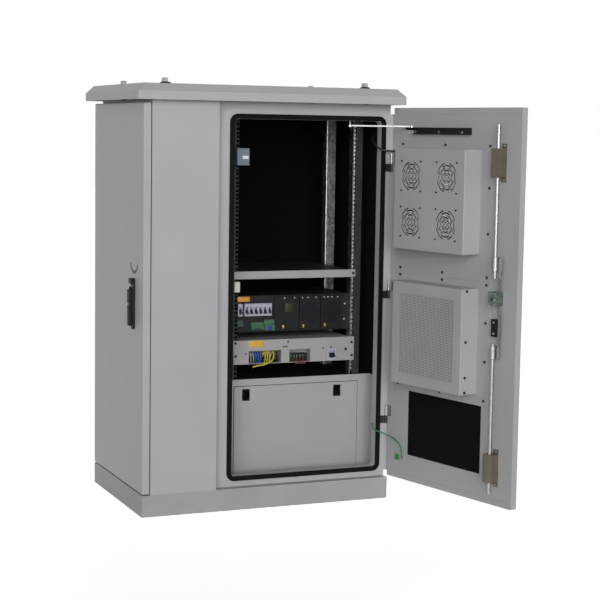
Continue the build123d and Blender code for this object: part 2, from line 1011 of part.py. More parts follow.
# Lift-off cover of the battery compartment with two finger slots
finger_z = (battery_open_z[1] - finger_height, battery_open_z[1])
with BuildPart() as lower_cover:
    slab(
        battery_face,
        grow(battery_open_x, cover_margin),
        grow(battery_open_z, cover_margin),
        0,
        cover_sheet,
        radius=cover_corner,
    )
    for start in (battery_open_x[0] + finger_inset, battery_open_x[1] - finger_right_inset - finger_width):
        slab(
            battery_face,
            (start, start + finger_width),
            finger_z,
            -overrun,
            cover_sheet + overrun,
            Mode.SUBTRACT,
        )
write(lower_cover, "lower_cover")

# Black sheets on the rear, right, left and top of the rack bay, and a mat on the battery shelf
foam_front = front_recess + sheet + reveal_depth
foam_x = (partition_inset + sheet, cabinet_width - sheet)
foam_rear = cabinet_depth - sheet
flange_side = rear_flange - sheet
with BuildPart() as insulation_sheets:
    slab(plan_view, grow(foam_x, -foam), (foam_rear - foam, foam_rear), battery_top, rail_top)
    slab(
        plan_view,
        (foam_x[1] - foam, foam_x[1]),
        (foam_front, foam_rear - flange_side),
        battery_top,
        wall_top,
    )
    slab(plan_view, (foam_x[0], foam_x[0] + foam), (foam_front, foam_rear), battery_top, wall_top)
    slab(plan_view, grow(foam_x, -foam), (foam_front, foam_rear), rail_top, wall_top)
    slab(
        plan_view,
        grow(foam_x, -foam),
        (battery_front, foam_rear - foam),
        battery_top,
        battery_top + battery_mat,
    )
write(insulation_sheets, "insulation_sheets")

# Two small boxes on the left front rail
sensor_x = (body_left - sensor_shift, body_left - sensor_shift + sensor_width)
sensor_z = (rail_top - sensor_drop, rail_top - sensor_drop + sensor_height)
switch_z = (power_z[1] + switch_lift, power_z[1] + switch_lift + switch_height)
with BuildPart() as sensor_boxes:
    slab(rack_face, sensor_x, sensor_z, 0, sensor_depth)
    slab(rack_face, (sensor_x[0], sensor_x[0] + switch_width), switch_z, 0, switch_depth)
    front_edges = sensor_boxes.faces().filter_by(Axis.Y).group_by(Axis.Y)
    fillet(front_edges[0].edges() + front_edges[1].edges(), radius=box_fillet)
write(sensor_boxes, "sensor_boxes")

# Lift-off hinges: cabinet halves carry the pins, for the front door and the side door
pin_plan = (cabinet_width + pin_outset, door_thickness + pin_setback)
side_pin_plan = (door_thickness + side_pin_setback, cabinet_depth + pin_outset)
with BuildPart() as cabinet_hinges:
    for foot in hinge_feet:
        middle = foot + cabinet_knuckle
        for place in (pin_plan, side_pin_plan):
            disc(plan_view, place, knuckle_radius, foot, middle)
            disc(plan_view, place, hinge_pin_radius, middle, middle + door_knuckle - pin_end_gap)
        slab(frame_face, (cabinet_width - leaf_width, pin_plan[0]), (foot, middle), 0, leaf_thickness)
        slab(
            plan_view,
            (side_pin_plan[0], side_recess + leaf_width),
            (cabinet_depth, cabinet_depth + leaf_thickness),
            foot,
            middle,
        )
write(cabinet_hinges, "cabinet_hinges")


def door_shell(builder, face, width, lip):
    """Add a door pan: outer skin with round corners and edges, side walls and a returned lip."""
    slab(face, (0, width), (door_bottom, door_top), -door_thickness, 0, radius=door_corner)
    outer_skin = builder.faces().sort_by(Axis(face.origin, face.z_dir))[0]
    fillet(outer_skin.edges(), radius=door_edge)
    slab(
        face,
        (sheet, width - sheet),
        (door_bottom + sheet, door_top - sheet),
        sheet - door_thickness,
        -sheet,
        Mode.SUBTRACT,
        door_corner - sheet,
    )
    slab(
        face,
        (lip, width - lip),
        (door_bottom + lip, door_top - lip),
        -sheet - overrun,
        overrun,
        Mode.SUBTRACT,
    )


# Front door pan with hooded louvres, open at their foot, and cut-outs for the handle
louvre_low = intake_z[0] + louvre_low_gap
louvre_high = fan_box_z[0] + louvre_high_gap
louvre_feet = [louvre_low + row * louvre_pitch for row in range(louvre_low_count)]
louvre_feet += [louvre_high + row * louvre_pitch for row in range(louvre_high_count)]
boss_middle = front_handle_x + housing_shift
boss_x = (boss_middle - boss_width / 2, boss_middle + boss_width / 2)
boss_z = (handle_z - housing_below, handle_z - housing_above)
with BuildPart() as door_pan:
    door_shell(door_pan, door_face, front_door_width, door_lip)
    for foot in louvre_feet:
        hood = Plane(
            origin=door_face.from_local_coords((louvre_left, foot, -door_thickness)),
            x_dir=-door_face.z_dir,
            z_dir=door_face.x_dir,
        )
        with BuildSketch(hood) as hood_side:
            with BuildLine():
                Line((0, 0), (louvre_stand, 0))
                TangentArc((louvre_stand, 0), (0, louvre_height), tangent=(0, 1))
                Line((0, louvre_height), (0, 0))
            make_face()
        extrude(hood_side.sketch, amount=louvre_width)
        slab(
            door_face,
            (louvre_left + louvre_wall, louvre_left + louvre_width - louvre_wall),
            (foot - overrun, foot + louvre_throat),
            louvre_wall - louvre_stand - door_thickness,
            sheet - door_thickness + overrun,
            Mode.SUBTRACT,
        )
    slab(
        door_face,
        grow(boss_x, clearance),
        grow(boss_z, clearance),
        -door_thickness - overrun,
        0,
        Mode.SUBTRACT,
    )
    disc(
        door_face,
        (front_handle_x, handle_z),
        spindle_radius + overrun,
        -door_thickness - overrun,
        0,
        Mode.SUBTRACT,
    )
write(door_pan, "door_pan")

# Inner skin of the front door, flush with the lips but for a fine seam, open behind the units
skin_openings = (
    (grow(fan_box_x, -unit_sheet), grow(fan_box_z, -unit_sheet)),
    (window_x, window_z),
    (grow(intake_x, pad_margin), grow(intake_z, pad_margin)),
    (grow(boss_x, clearance), grow(boss_z, clearance)),
)
with BuildPart() as door_skin:
    slab(
        door_face,
        (door_lip, front_door_width - door_lip),
        (door_bottom + door_lip, door_top - door_lip),
        -sheet,
        0,
    )
    chamfer(door_skin.faces().sort_by(Axis(door_face.origin, door_face.z_dir))[-1].edges(), length=skin_seam)
    for span, height in skin_openings:
        slab(door_face, span, height, -sheet - overrun, overrun, Mode.SUBTRACT)
    disc(
        door_face,
        (front_handle_x, handle_z),
        spindle_radius + overrun,
        -sheet - overrun,
        overrun,
        Mode.SUBTRACT,
    )
write(door_skin, "door_skin")


def unit_shell(builder, unit_z, box_x, box_z):
    """Add a unit on the door: mounting flange and a folded box with round edges, open at the back."""
    slab(door_face, (unit_left, unit_right), unit_z, 0, unit_sheet)
    slab(door_face, box_x, box_z, 0, box_height, radius=unit_bend)
    lid = builder.faces().sort_by(Axis(door_face.origin, door_face.z_dir))[-1]
    fillet(lid.edges(), radius=unit_bend - unit_sheet)
    slab(
        door_face,
        grow(box_x, -unit_sheet),
        grow(box_z, -unit_sheet),
        -overrun,
        box_face,
        Mode.SUBTRACT,
        unit_bend - unit_sheet,
    )


# One fan's grille: rings of arc slots, every second ring turned by half a slot
slot_span = 360 / grille_ring_slots
with BuildSketch() as fan_grille:
    for ring in range(grille_ring_count):
        radius = grille_radius - ring * grille_ring_pitch
        round_ends = degrees(grille_slot_width / radius)
        arc_span = slot_span * (1 - grille_bridge_share) - round_ends
        with PolarLocations(0, grille_ring_slots, start_angle=slot_span / 2 * ((ring + 1) % 2)):
            SlotArc(CenterArc((0, 0), radius, -arc_span / 2, arc_span), grille_slot_width)

# Fan unit: flange and folded box with four ringed grilles in its face
fan_middle = ((fan_box_x[0] + fan_box_x[1]) / 2, (fan_box_z[0] + fan_box_z[1]) / 2)
fan_centres = [
    (fan_middle[0] + column * fan_pitch_x / 2, fan_middle[1] + row * fan_pitch_z / 2)
    for row in (1, -1)
    for column in (-1, 1)
]
with BuildPart() as fan_unit:
    unit_shell(fan_unit, (fan_unit_bottom, fan_unit_top), fan_box_x, fan_box_z)
    with BuildSketch(door_face.offset(box_face - overrun)) as grille_slots:
        with Locations(*fan_centres):
            add(fan_grille.sketch)
    extrude(grille_slots.sketch, amount=unit_sheet + 2 * overrun, mode=Mode.SUBTRACT)
write(fan_unit, "fan_unit")

# Fan frames behind the grilles: square ring, four struts, motor plate and post
fan_back = box_face - fan_thickness
with BuildPart() as fan_frames:
    with BuildSketch(door_face.offset(fan_back)) as frame_rings:
        with Locations(*fan_centres):
            RectangleRounded(fan_size, fan_size, fan_corner)
            Circle(fan_bore_radius, mode=Mode.SUBTRACT)
    extrude(frame_rings.sketch, amount=fan_thickness)
    with BuildSketch(door_face.offset(fan_back)) as struts:
        with Locations(*fan_centres):
            Rectangle(2 * fan_bore_radius + strut_width, strut_width)
            Rectangle(strut_width, 2 * fan_bore_radius + strut_width)
            Circle(fan_motor_radius)
    extrude(struts.sketch, amount=fan_plate)
    with BuildSketch(door_face.offset(fan_back + fan_plate)) as posts:
        with Locations(*fan_centres):
            Circle(fan_post_radius)
    extrude(posts.sketch, amount=fan_post_height - fan_plate)
write(fan_frames, "fan_frames")

# Fan rotors: hub on the post, with blades that twist from root to tip
rotor_back = fan_back + fan_plate + clearance
blade_root = rotor_hub_radius - overrun
blade_tip = fan_bore_radius - rotor_tip_gap
for index, (fan_x, fan_z) in enumerate(fan_centres):
    rotor_plane = Plane(
        origin=door_face.from_local_coords((fan_x, fan_z, rotor_back)),
        x_dir=door_face.x_dir,
        z_dir=door_face.z_dir,
    )
    spoke_plane = Plane(
        origin=rotor_plane.from_local_coords((0, 0, rotor_hub_height / 2)),
        x_dir=rotor_plane.y_dir,
        z_dir=rotor_plane.x_dir,
    )
    with BuildPart() as blade:
        with BuildSketch(spoke_plane.offset(blade_root)) as root:
            Rectangle(rotor_root_chord, rotor_blade_thickness, rotation=rotor_root_pitch)
        with BuildSketch(spoke_plane.offset(blade_tip)) as tip:
            Rectangle(rotor_tip_chord, rotor_blade_thickness, rotation=rotor_tip_pitch)
        loft(sections=(root.sketch.face(), tip.sketch.face()))
    rotor_axis = Axis(rotor_plane.origin, rotor_plane.z_dir)
    with BuildPart() as fan_rotor:
        disc(rotor_plane, (0, 0), rotor_hub_radius, 0, rotor_hub_height)
        fillet(fan_rotor.faces().sort_by(rotor_axis)[-1].edges(), radius=rotor_hub_edge)
        for turn in range(rotor_blade_count):
            add(blade.part.rotate(rotor_axis, turn * 360 / rotor_blade_count))
        disc(
            rotor_plane,
            (0, 0),
            fan_post_radius + fit,
            -overrun,
            rotor_hub_height - rotor_wall,
            Mode.SUBTRACT,
        )
    write(fan_rotor, f"fan_rotor_{index + 1}")

# Filter unit: flange down to the intake window, folded box with a framed window, and a welded earth stud
earth_stud_place = (unit_left + earth_stud_inset, filter_unit_bottom + earth_stud_foot)
with BuildPart() as filter_unit:
    unit_shell(filter_unit, (filter_unit_bottom, filter_unit_top), filter_box_x, filter_box_z)
    slab(door_face, window_x, window_z, box_face - overrun, box_height + overrun, Mode.SUBTRACT)
    slab(door_face, intake_x, intake_z, -overrun, unit_sheet + overrun, Mode.SUBTRACT)
    disc(door_face, earth_stud_place, earth_stud_radius, unit_sheet, earth_stud_height)
write(filter_unit, "filter_unit")

# Grille plate behind the filter unit's window
grille_pitch_x = (window_x[1] - window_x[0]) / grille_columns
grille_pitch_z = (window_z[1] - window_z[0]) / grille_rows
with BuildPart() as filter_grille:
    slab(
        door_face,
        grow(window_x, grille_margin),
        grow(window_z, grille_margin),
        box_face - unit_sheet,
        box_face,
    )
    with BuildSketch(door_face.offset(box_face - unit_sheet - overrun)) as gaps:
        with Locations(((window_x[0] + window_x[1]) / 2, (window_z[0] + window_z[1]) / 2)):
            with GridLocations(grille_pitch_x, grille_pitch_z, grille_columns, grille_rows):
                SlotOverall(grille_pitch_x * grille_slot_share, grille_pitch_z * grille_gap_share)
    extrude(gaps.sketch, amount=unit_sheet + 2 * overrun, mode=Mode.SUBTRACT)
write(filter_grille, "filter_grille")

# Filter mats: one behind the intake window and one behind the grille plate
with BuildPart() as filter_pad:
    slab(door_face, grow(intake_x, pad_margin), grow(intake_z, pad_margin), -pad_thickness, 0)
    slab(
        door_face,
        grow(window_x, grille_margin),
        grow(window_z, grille_margin),
        box_face - unit_sheet - pad_thickness,
        box_face - unit_sheet,
    )
write(filter_pad, "filter_pad")

# Door halves of the front hinges
pin_line = Plane(origin=(pin_x, pin_y, 0))
with BuildPart() as door_hinges:
    for foot in hinge_feet:
        bottom = foot + cabinet_knuckle + clearance
        top = bottom + door_knuckle
        disc(pin_line, (0, 0), knuckle_radius, bottom, top)
        slab(door_face, (-pin_outset, leaf_width), (bottom, top), 0, leaf_thickness)
        disc(pin_line, (0, 0), hinge_pin_radius + fit, bottom - overrun, top - pin_end_gap, Mode.SUBTRACT)
write(door_hinges, "door_hinges")

# Lock case and the two rod guides on the inside of the front door
guide_x = (rod_x - guide_width / 2, rod_x + guide_width / 2)
guide_spans = [
    (rod_upper_end - guide_upper_gap - guide_length, rod_upper_end - guide_upper_gap),
    (rod_lower_end + guide_lower_gap, rod_lower_end + guide_lower_gap + guide_length),
]
case_x = (front_handle_x - lock_case_left, front_handle_x + lock_case_right)
case_z = (handle_z - lock_case_below, handle_z + lock_case_above)
rod_line = Plane(
    origin=door_face.from_local_coords((rod_x, 0, rod_stand)), x_dir=door_face.x_dir, z_dir=(0, 0, 1)
)
with BuildPart() as lock_fittings:
    slab(door_face, case_x, case_z, 0, lock_case_height)
    slab(
        door_face,
        grow(case_x, -sheet),
        grow(case_z, overrun),
        sheet,
        lock_case_height - sheet,
        Mode.SUBTRACT,
    )
    disc(
        door_face,
        (front_handle_x, handle_z),
        spindle_radius + overrun,
        -overrun,
        sheet + overrun,
        Mode.SUBTRACT,
    )
    for span in guide_spans:
        slab(door_face, guide_x, span, 0, guide_height, radius=guide_bend)
        slab(
            door_face,
            grow(guide_x, -guide_sheet),
            grow(span, -guide_sheet),
            -overrun,
            guide_height - guide_sheet,
            Mode.SUBTRACT,
            guide_bend - guide_sheet,
        )
        slab(
            door_face,
            (guide_x[1] - guide_ear_width, guide_x[1]),
            (span[0] - guide_ear, span[0] + guide_sheet),
            0,
            guide_sheet,
        )
        slab(
            door_face,
            (guide_x[1] - guide_ear_width, guide_x[1]),
            (span[1] - guide_sheet, span[1] + guide_ear),
            0,
            guide_sheet,
        )
        disc(rod_line, (0, 0), rod_radius + clearance, span[0] - overrun, span[1] + overrun, Mode.SUBTRACT)
write(lock_fittings, "lock_fittings")


def lock_rod(rod_span, sleeve_span, bar_points):
    """Make one lock rod: round rod in a clamp sleeve, riveted clamp plate and a flat bar to the lock."""
    bar_span = (bar_stand - bar_thickness / 2, bar_stand + bar_thickness / 2)
    rivet_place = (rod_x + clamp_reach - rivet_inset, (sleeve_span[0] + sleeve_span[1]) / 2)
    with BuildPart() as rod:
        disc(rod_line, (0, 0), sleeve_radius, *sleeve_span)
        chamfer(rod.edges(), length=sleeve_edge)
        disc(rod_line, (0, 0), rod_radius, *rod_span)
        slab(door_face, (rod_x, rod_x + clamp_reach), sleeve_span, *bar_span)
        with BuildSketch(door_face.offset(bar_span[1])) as rivets:
            with Locations(rivet_place):
                with GridLocations(rivet_pitch, rivet_pitch, 1, 2):
                    Circle(rivet_radius)
        extrude(rivets.sketch, amount=rivet_height)
        folded(door_face, bar_points, *bar_span, bar_width, bar_bend)
    return rod


# Upper lock rod with a straight bar
upper_sleeve = (handle_z + sleeve_upper_start, handle_z + sleeve_upper_start + sleeve_length)
upper_bar_x = rod_x + bar_upper_offset
upper_bar = (
    (upper_bar_x, handle_z + bar_upper_start),
    (upper_bar_x, upper_sleeve[0] - bar_step),
    (rod_x + bar_clamp_offset, upper_sleeve[0] + sleeve_length / 2),
)
upper_rod = lock_rod((upper_sleeve[0] - rod_tail_upper, rod_upper_end), upper_sleeve, upper_bar)
write(upper_rod, "upper_rod")

# Lower lock rod with a bar that steps round the handle's inner housing
lower_sleeve = (handle_z - sleeve_lower_start - sleeve_length, handle_z - sleeve_lower_start)
step_top = handle_z - housing_above + bar_clear_above
step_foot = handle_z - housing_below - bar_clear_below
lower_bar = (
    (rod_x + bar_case_offset, handle_z - bar_lower_start),
    (rod_x + bar_case_offset, step_top + bar_step),
    (rod_x + bar_side_offset, step_top),
    (rod_x + bar_side_offset, step_foot),
    (rod_x + bar_clamp_offset, step_foot - bar_step),
    (rod_x + bar_clamp_offset, lower_sleeve[1] - sleeve_length / 2),
)
lower_rod = lock_rod((rod_lower_end, lower_sleeve[1] + rod_tail_lower), lower_sleeve, lower_bar)
write(lower_rod, "lower_rod")


def handle_base(face, place_x, inner_housing):
    """Make the fixed part of a swing handle: base plate, end cap and, through the door, its clamp housing."""
    outer = face.offset(-door_thickness)
    outward = Axis(face.origin, face.z_dir)
    width = (place_x - base_width / 2, place_x + base_width / 2)
    housing_x = place_x + housing_shift
    housing_z = (handle_z - housing_below, handle_z - housing_above)
    with BuildPart() as base:
        slab(
            outer,
            width,
            (handle_z - base_below, handle_z + base_above),
            -base_thickness,
            0,
            radius=base_width / 2 - clearance,
        )
        fillet(base.faces().sort_by(outward)[0].edges(), radius=base_edge)
        slab(outer, width, (handle_z + cap_start, handle_z + base_above), -cap_height, 0, radius=cap_corner)
        fillet(base.faces().sort_by(outward)[0].edges(), radius=base_edge)
        if inner_housing:
            slab(
                face,
                (housing_x - housing_width / 2, housing_x + housing_width / 2),
                grow(housing_z, sheet),
                0,
                housing_height,
                radius=housing_edge,
            )
            slab(
                face, (housing_x - boss_width / 2, housing_x + boss_width / 2), housing_z, -door_thickness, 0
            )
        disc(
            outer,
            (place_x, handle_z),
            spindle_radius + fit,
            -base_thickness - overrun,
            overrun,
            Mode.SUBTRACT,
        )
    return base


def lever_planes(face, place_x, lever_x, lever_z):
    """Give the plane along a lever through its pivot, and the plane square to the cross pin."""
    hub_middle = -door_thickness - base_thickness - hub_gap - hub_size / 2
    grip = Plane(
        origin=face.from_local_coords((place_x, handle_z, hub_middle)),
        x_dir=face.x_dir * lever_x + face.y_dir * lever_z,
        z_dir=face.z_dir,
    )
    cross = Plane(origin=grip.origin, x_dir=grip.x_dir, z_dir=-grip.y_dir)
    return grip, cross


def handle_spindle(face, place_x, lever_x, lever_z, cam_height, cam_outline):
    """Make the turning part: round hub with the lever's pivot hole, a shaft through the door and its cam."""
    grip, cross = lever_planes(face, place_x, lever_x, lever_z)
    neck = hub_size / 2 - overrun
    with BuildPart() as spindle:
        disc(cross, (0, 0), hub_size / 2, -hub_size / 2, hub_size / 2)
        slab(grip, (-neck, neck), (-neck, neck), 0, hub_size / 2 + hub_gap)
        disc(face, (place_x, handle_z), spindle_radius, -door_thickness - base_thickness, cam_height)
        with BuildSketch(face.offset(cam_height)) as cam:
            with Locations((place_x, handle_z)):
                add(cam_outline)
        extrude(cam.sketch, amount=cam_thickness)
        disc(cross, (0, 0), lever_pivot_radius + fit, -hub_size, hub_size, Mode.SUBTRACT)
    return spindle


def handle_lever(face, place_x, lever_x, lever_z):
    """Make the lever: a tapered grip forked round the hub, with its cross pin and a key cylinder."""
    grip, cross = lever_planes(face, place_x, lever_x, lever_z)
    half = lever_thickness / 2
    barrel = lever_width / 2 - lever_shoulder
    slot = hub_size / 2 + clearance
    with BuildPart() as lever:
        with BuildSketch(grip.offset(-half)) as outline:
            with Locations((lever_width / 2, 0)):
                Circle(lever_width / 2)
            with Locations((lever_length - lever_tip_width / 2, 0)):
                Circle(lever_tip_width / 2)
            make_hull()
        extrude(outline.sketch, amount=lever_thickness)
        fillet(lever.faces().sort_by(Axis(grip.origin, grip.z_dir))[0].edges(), radius=lever_edge)
        disc(cross, (0, 0), half, -barrel, barrel)
        slab(grip, (-lever_width, slot), (-slot, slot), -lever_width, lever_width, Mode.SUBTRACT)
        disc(cross, (0, 0), lever_pivot_radius, -barrel, barrel)
        disc(grip, (key_drop, 0), key_radius, -half - key_height, -half + lever_edge)
        disc(grip, (key_drop, 0), key_hole_radius, -half - key_height, -half - key_height / 2, Mode.SUBTRACT)
    return lever


# Cams on the spindles: a round one that drives the rods, and a long tongue behind the side frame
with BuildSketch() as round_cam:
    Circle(cam_width)
with BuildSketch() as tongue_cam:
    Circle(cam_width / 2)
    with Locations((0, cam_width / 2 - cam_reach)):
        Circle(cam_width / 2)
    make_hull()

# Front door handle, turned to the unlocked side as the door stands open
front_base = handle_base(door_face, front_handle_x, True)
write(front_base, "handle_base")
front_spindle = handle_spindle(door_face, front_handle_x, -1, 0, cam_stand, round_cam.sketch)
write(front_spindle, "handle_spindle")
front_lever = handle_lever(door_face, front_handle_x, -1, 0)
write(front_lever, "handle_lever")

# Door stay: slotted channel on the front door, with a tongue at the hinge end, and a rod from the frame's pin
bracket_z = (stay_foot - stay_bracket_height, stay_foot)
bracket_x = (stay_slot_start, stay_slot_end)
bracket_middle = stay_bracket_depth / 2
with BuildPart() as stay_bracket:
    slab(door_face, bracket_x, bracket_z, 0, stay_bracket_depth)
    slab(
        door_face,
        grow(bracket_x, overrun),
        grow(bracket_z, -sheet),
        sheet,
        stay_bracket_depth + overrun,
        Mode.SUBTRACT,
    )
    slab(
        door_face,
        grow(bracket_x, -stay_eye_radius),
        (bracket_z[1] - sheet - overrun, bracket_z[1] + overrun),
        bracket_middle - stay_slot_width / 2,
        bracket_middle + stay_slot_width / 2,
        Mode.SUBTRACT,
    )
    slab(
        door_face,
        (bracket_x[0] - overrun, bracket_x[0] + stay_tongue),
        (bracket_z[0] - overrun, bracket_z[1] - stay_tongue_height),
        -overrun,
        stay_bracket_depth + overrun,
        Mode.SUBTRACT,
    )
write(stay_bracket, "stay_bracket")

# Stay rod: a flat bar between two eyes
stay_seat = door_face.from_local_coords((stay_seat_x, stay_z, bracket_middle))
stay_pivot = plan_view.from_local_coords((*stay_place, stay_z))
stay_run = stay_seat - stay_pivot
stay_plan = Plane(origin=stay_pivot, x_dir=stay_run, z_dir=(0, 0, 1))
with BuildPart() as stay_rod:
    with BuildSketch(stay_plan.offset(-stay_eye_height / 2)) as stay_outline:
        with Locations((0, 0), (stay_run.length, 0)):
            Circle(stay_eye_radius)
        with Locations((stay_run.length / 2, 0)):
            Rectangle(stay_run.length, 2 * stay_radius)
        Circle(stay_pin_radius + fit, mode=Mode.SUBTRACT)
    extrude(stay_outline.sketch, amount=stay_eye_height)
write(stay_rod, "stay_rod")

# Side door pan with its hinge halves welded on
with BuildPart() as side_door_pan:
    door_shell(side_door_pan, side_face, cabinet_depth, side_door_lip)
    disc(
        side_face,
        (side_handle_y, handle_z),
        spindle_radius + overrun,
        -door_thickness - overrun,
        0,
        Mode.SUBTRACT,
    )
    for foot in hinge_feet:
        bottom = foot + cabinet_knuckle + clearance
        top = bottom + door_knuckle
        disc(plan_view, side_pin_plan, knuckle_radius, bottom, top)
        slab(
            plan_view,
            (side_pin_plan[0] - leaf_width, side_pin_plan[0]),
            (cabinet_depth, cabinet_depth + leaf_thickness),
            bottom,
            top,
        )
        disc(
            plan_view,
            side_pin_plan,
            hinge_pin_radius + fit,
            bottom - overrun,
            top - pin_end_gap,
            Mode.SUBTRACT,
        )
write(side_door_pan, "side_door_pan")

# Side door handle, hanging straight down
side_base = handle_base(side_face, side_handle_y, False)
write(side_base, "side_handle_base")
side_spindle = handle_spindle(side_face, side_handle_y, 0, -1, side_cam_stand, tongue_cam.sketch)
write(side_spindle, "side_handle_spindle")
side_lever = handle_lever(side_face, side_handle_y, 0, -1)
write(side_lever, "side_handle_lever")


def corner_radii(points):
    """Give the largest fair radius at each corner of a cord's route, and print them."""
    radii = []
    for before, corner, after in zip(points, points[1:], points[2:]):
        run_in = Vector(corner) - Vector(before)
        run_out = Vector(after) - Vector(corner)
        turn = radians(run_in.get_angle(run_out))
        radii.append(cord_arc_share * min(run_in.length, run_out.length) / tan(turn / 2))
    print([round(radius, 1) for radius in radii])
    return radii


def cord(route, radius):
    """Make a cord: a round tube along straight runs joined by wide arcs, and print its filled share."""
    points = [(right + x, front + y, z) for x, y, z in route]
    with BuildPart() as tube:
        with BuildLine() as line:
            FilletPolyline(*points, radius=corner_radii(points))
        with BuildSketch(Plane(origin=points[0], z_dir=Vector(points[1]) - Vector(points[0]))):
            Circle(radius)
        sweep(path=line.wires()[0])
    print(round(tube.part.volume / (pi * radius**2 * line.wires()[0].length), 4))
    return tube


# Earth wire from the frame's stud to the door's, and the fan cable from the right wall to the door
write(cord(earth_wire_route, earth_wire_radius), "earth_wire")
write(cord(fan_cable_route, fan_cable_radius), "fan_cable")
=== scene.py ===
"""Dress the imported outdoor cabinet: paint and metal finishes, fasteners, unit faces, wiring and a studio."""
from __future__ import annotations

import json
import logging
import math
from collections.abc import Callable, Iterator, Sequence
from contextlib import contextmanager
from dataclasses import dataclass, field
from enum import Enum

import bmesh
import bpy
from mathutils import Matrix, Vector

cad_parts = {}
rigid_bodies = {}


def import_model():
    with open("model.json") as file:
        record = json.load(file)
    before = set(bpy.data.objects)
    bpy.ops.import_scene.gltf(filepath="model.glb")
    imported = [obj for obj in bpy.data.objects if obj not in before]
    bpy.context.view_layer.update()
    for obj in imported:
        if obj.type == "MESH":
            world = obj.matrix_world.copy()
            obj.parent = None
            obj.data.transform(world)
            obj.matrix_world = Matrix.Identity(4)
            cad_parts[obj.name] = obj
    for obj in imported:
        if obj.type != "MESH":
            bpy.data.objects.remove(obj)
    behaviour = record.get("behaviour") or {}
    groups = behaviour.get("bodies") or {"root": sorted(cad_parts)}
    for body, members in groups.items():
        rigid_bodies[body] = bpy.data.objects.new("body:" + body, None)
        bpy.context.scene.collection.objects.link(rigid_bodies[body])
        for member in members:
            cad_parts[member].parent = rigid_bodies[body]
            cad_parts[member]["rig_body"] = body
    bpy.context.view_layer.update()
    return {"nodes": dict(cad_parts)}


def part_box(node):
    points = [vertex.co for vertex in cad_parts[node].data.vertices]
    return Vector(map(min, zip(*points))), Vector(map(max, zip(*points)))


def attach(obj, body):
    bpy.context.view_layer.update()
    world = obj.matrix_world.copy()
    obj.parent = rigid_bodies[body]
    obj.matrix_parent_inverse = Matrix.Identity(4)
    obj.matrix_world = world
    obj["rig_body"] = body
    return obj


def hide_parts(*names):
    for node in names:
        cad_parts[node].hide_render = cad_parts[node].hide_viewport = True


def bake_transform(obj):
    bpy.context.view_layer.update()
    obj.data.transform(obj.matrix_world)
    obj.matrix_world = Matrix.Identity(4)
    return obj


LOG = logging.getLogger("cabinet")
MM = 0.001

# Cabinet's front left foot and its hinge edge in the frame, in metres, and the angle the door stands open at
FOOT = Vector((-0.475, -0.3075, 0.0))
HINGE_EDGE = Vector((0.486612, -0.280734, 0.0))
DOOR_ANGLE = math.radians(103)

Spot = tuple[float, float]
Place = tuple[float, float, float]
Corners = tuple[Place, Place]
FaceTest = Callable[[Vector, Vector], bool]

# How far the faces of the power unit and the distribution unit lie behind the cabinet's front, in millimetres
POWER_DEPTH = 172.0
PANEL_DEPTH = 148.0

# Largest angles shaded smooth, in degrees, on small pieces and on tubes
FOLD_SMOOTH = 35
TUBE_SMOOTH = 40

# Steps of a rounded edge, normals that count as a top and as flat, and a recess's inset by its head's radius
EDGE_STEPS = 2
TOP_TILT = 0.9
FLAT_TILT = 0.99
RECESS_SHARE = 0.4

# Fineness of a tube's round and of its curve, and the curve's order
TUBE_STEPS = 3
CURVE_STEPS = 10
CURVE_ORDER = 3

# Steps along a bent strip, and its thickness in millimetres
STRIP_STEPS = 24
STRIP_WALL = 0.4

# Where a finish's two tones lie on its noise, the detail of its bumps and their depth by their size
TONE_SHARES = (0.3, 0.7)
BUMP_DETAIL = 3.0
BUMP_DEPTH_SHARE = 0.2

WHITE = "#FFFFFF"
PAPER = "#F4F4F4"


def linear(hex_colour: str) -> tuple[float, float, float, float]:
    """Turn an sRGB hex colour into linear RGBA.

    Args:
        hex_colour: Six hex digits after a hash sign.
    Returns:
        The linear colour with full alpha.
    """
    shares = [int(hex_colour[start:start + 2], 16) / 255 for start in (1, 3, 5)]
    light = [s / 12.92 if s <= 0.04045 else ((s + 0.055) / 1.055) ** 2.4 for s in shares]
    return (light[0], light[1], light[2], 1.0)


def add_node(
    tree: bpy.types.NodeTree, kind: str, settings: dict | None = None, links: dict | None = None
) -> bpy.types.Node:
    """Add a node with its settings and links.

    Args:
        tree: The node tree to add to.
        kind: The node's type name.
        settings: Values by socket name, or by property name where no socket has it.
        links: Output sockets by the name of the input they feed.
    Returns:
        The new node.
    """
    node = tree.nodes.new(kind)
    for name, value in (settings or {}).items():
        if name in node.inputs:
            node.inputs[name].default_value = value
        else:
            setattr(node, name, value)
    for name, source in (links or {}).items():
        tree.links.new(source, node.inputs[name])
    return node


class Grain(Enum):
    """How a finish varies over its surface."""

    CLOUD = "ShaderNodeTexNoise"
    SPANGLE = "ShaderNodeTexVoronoi"


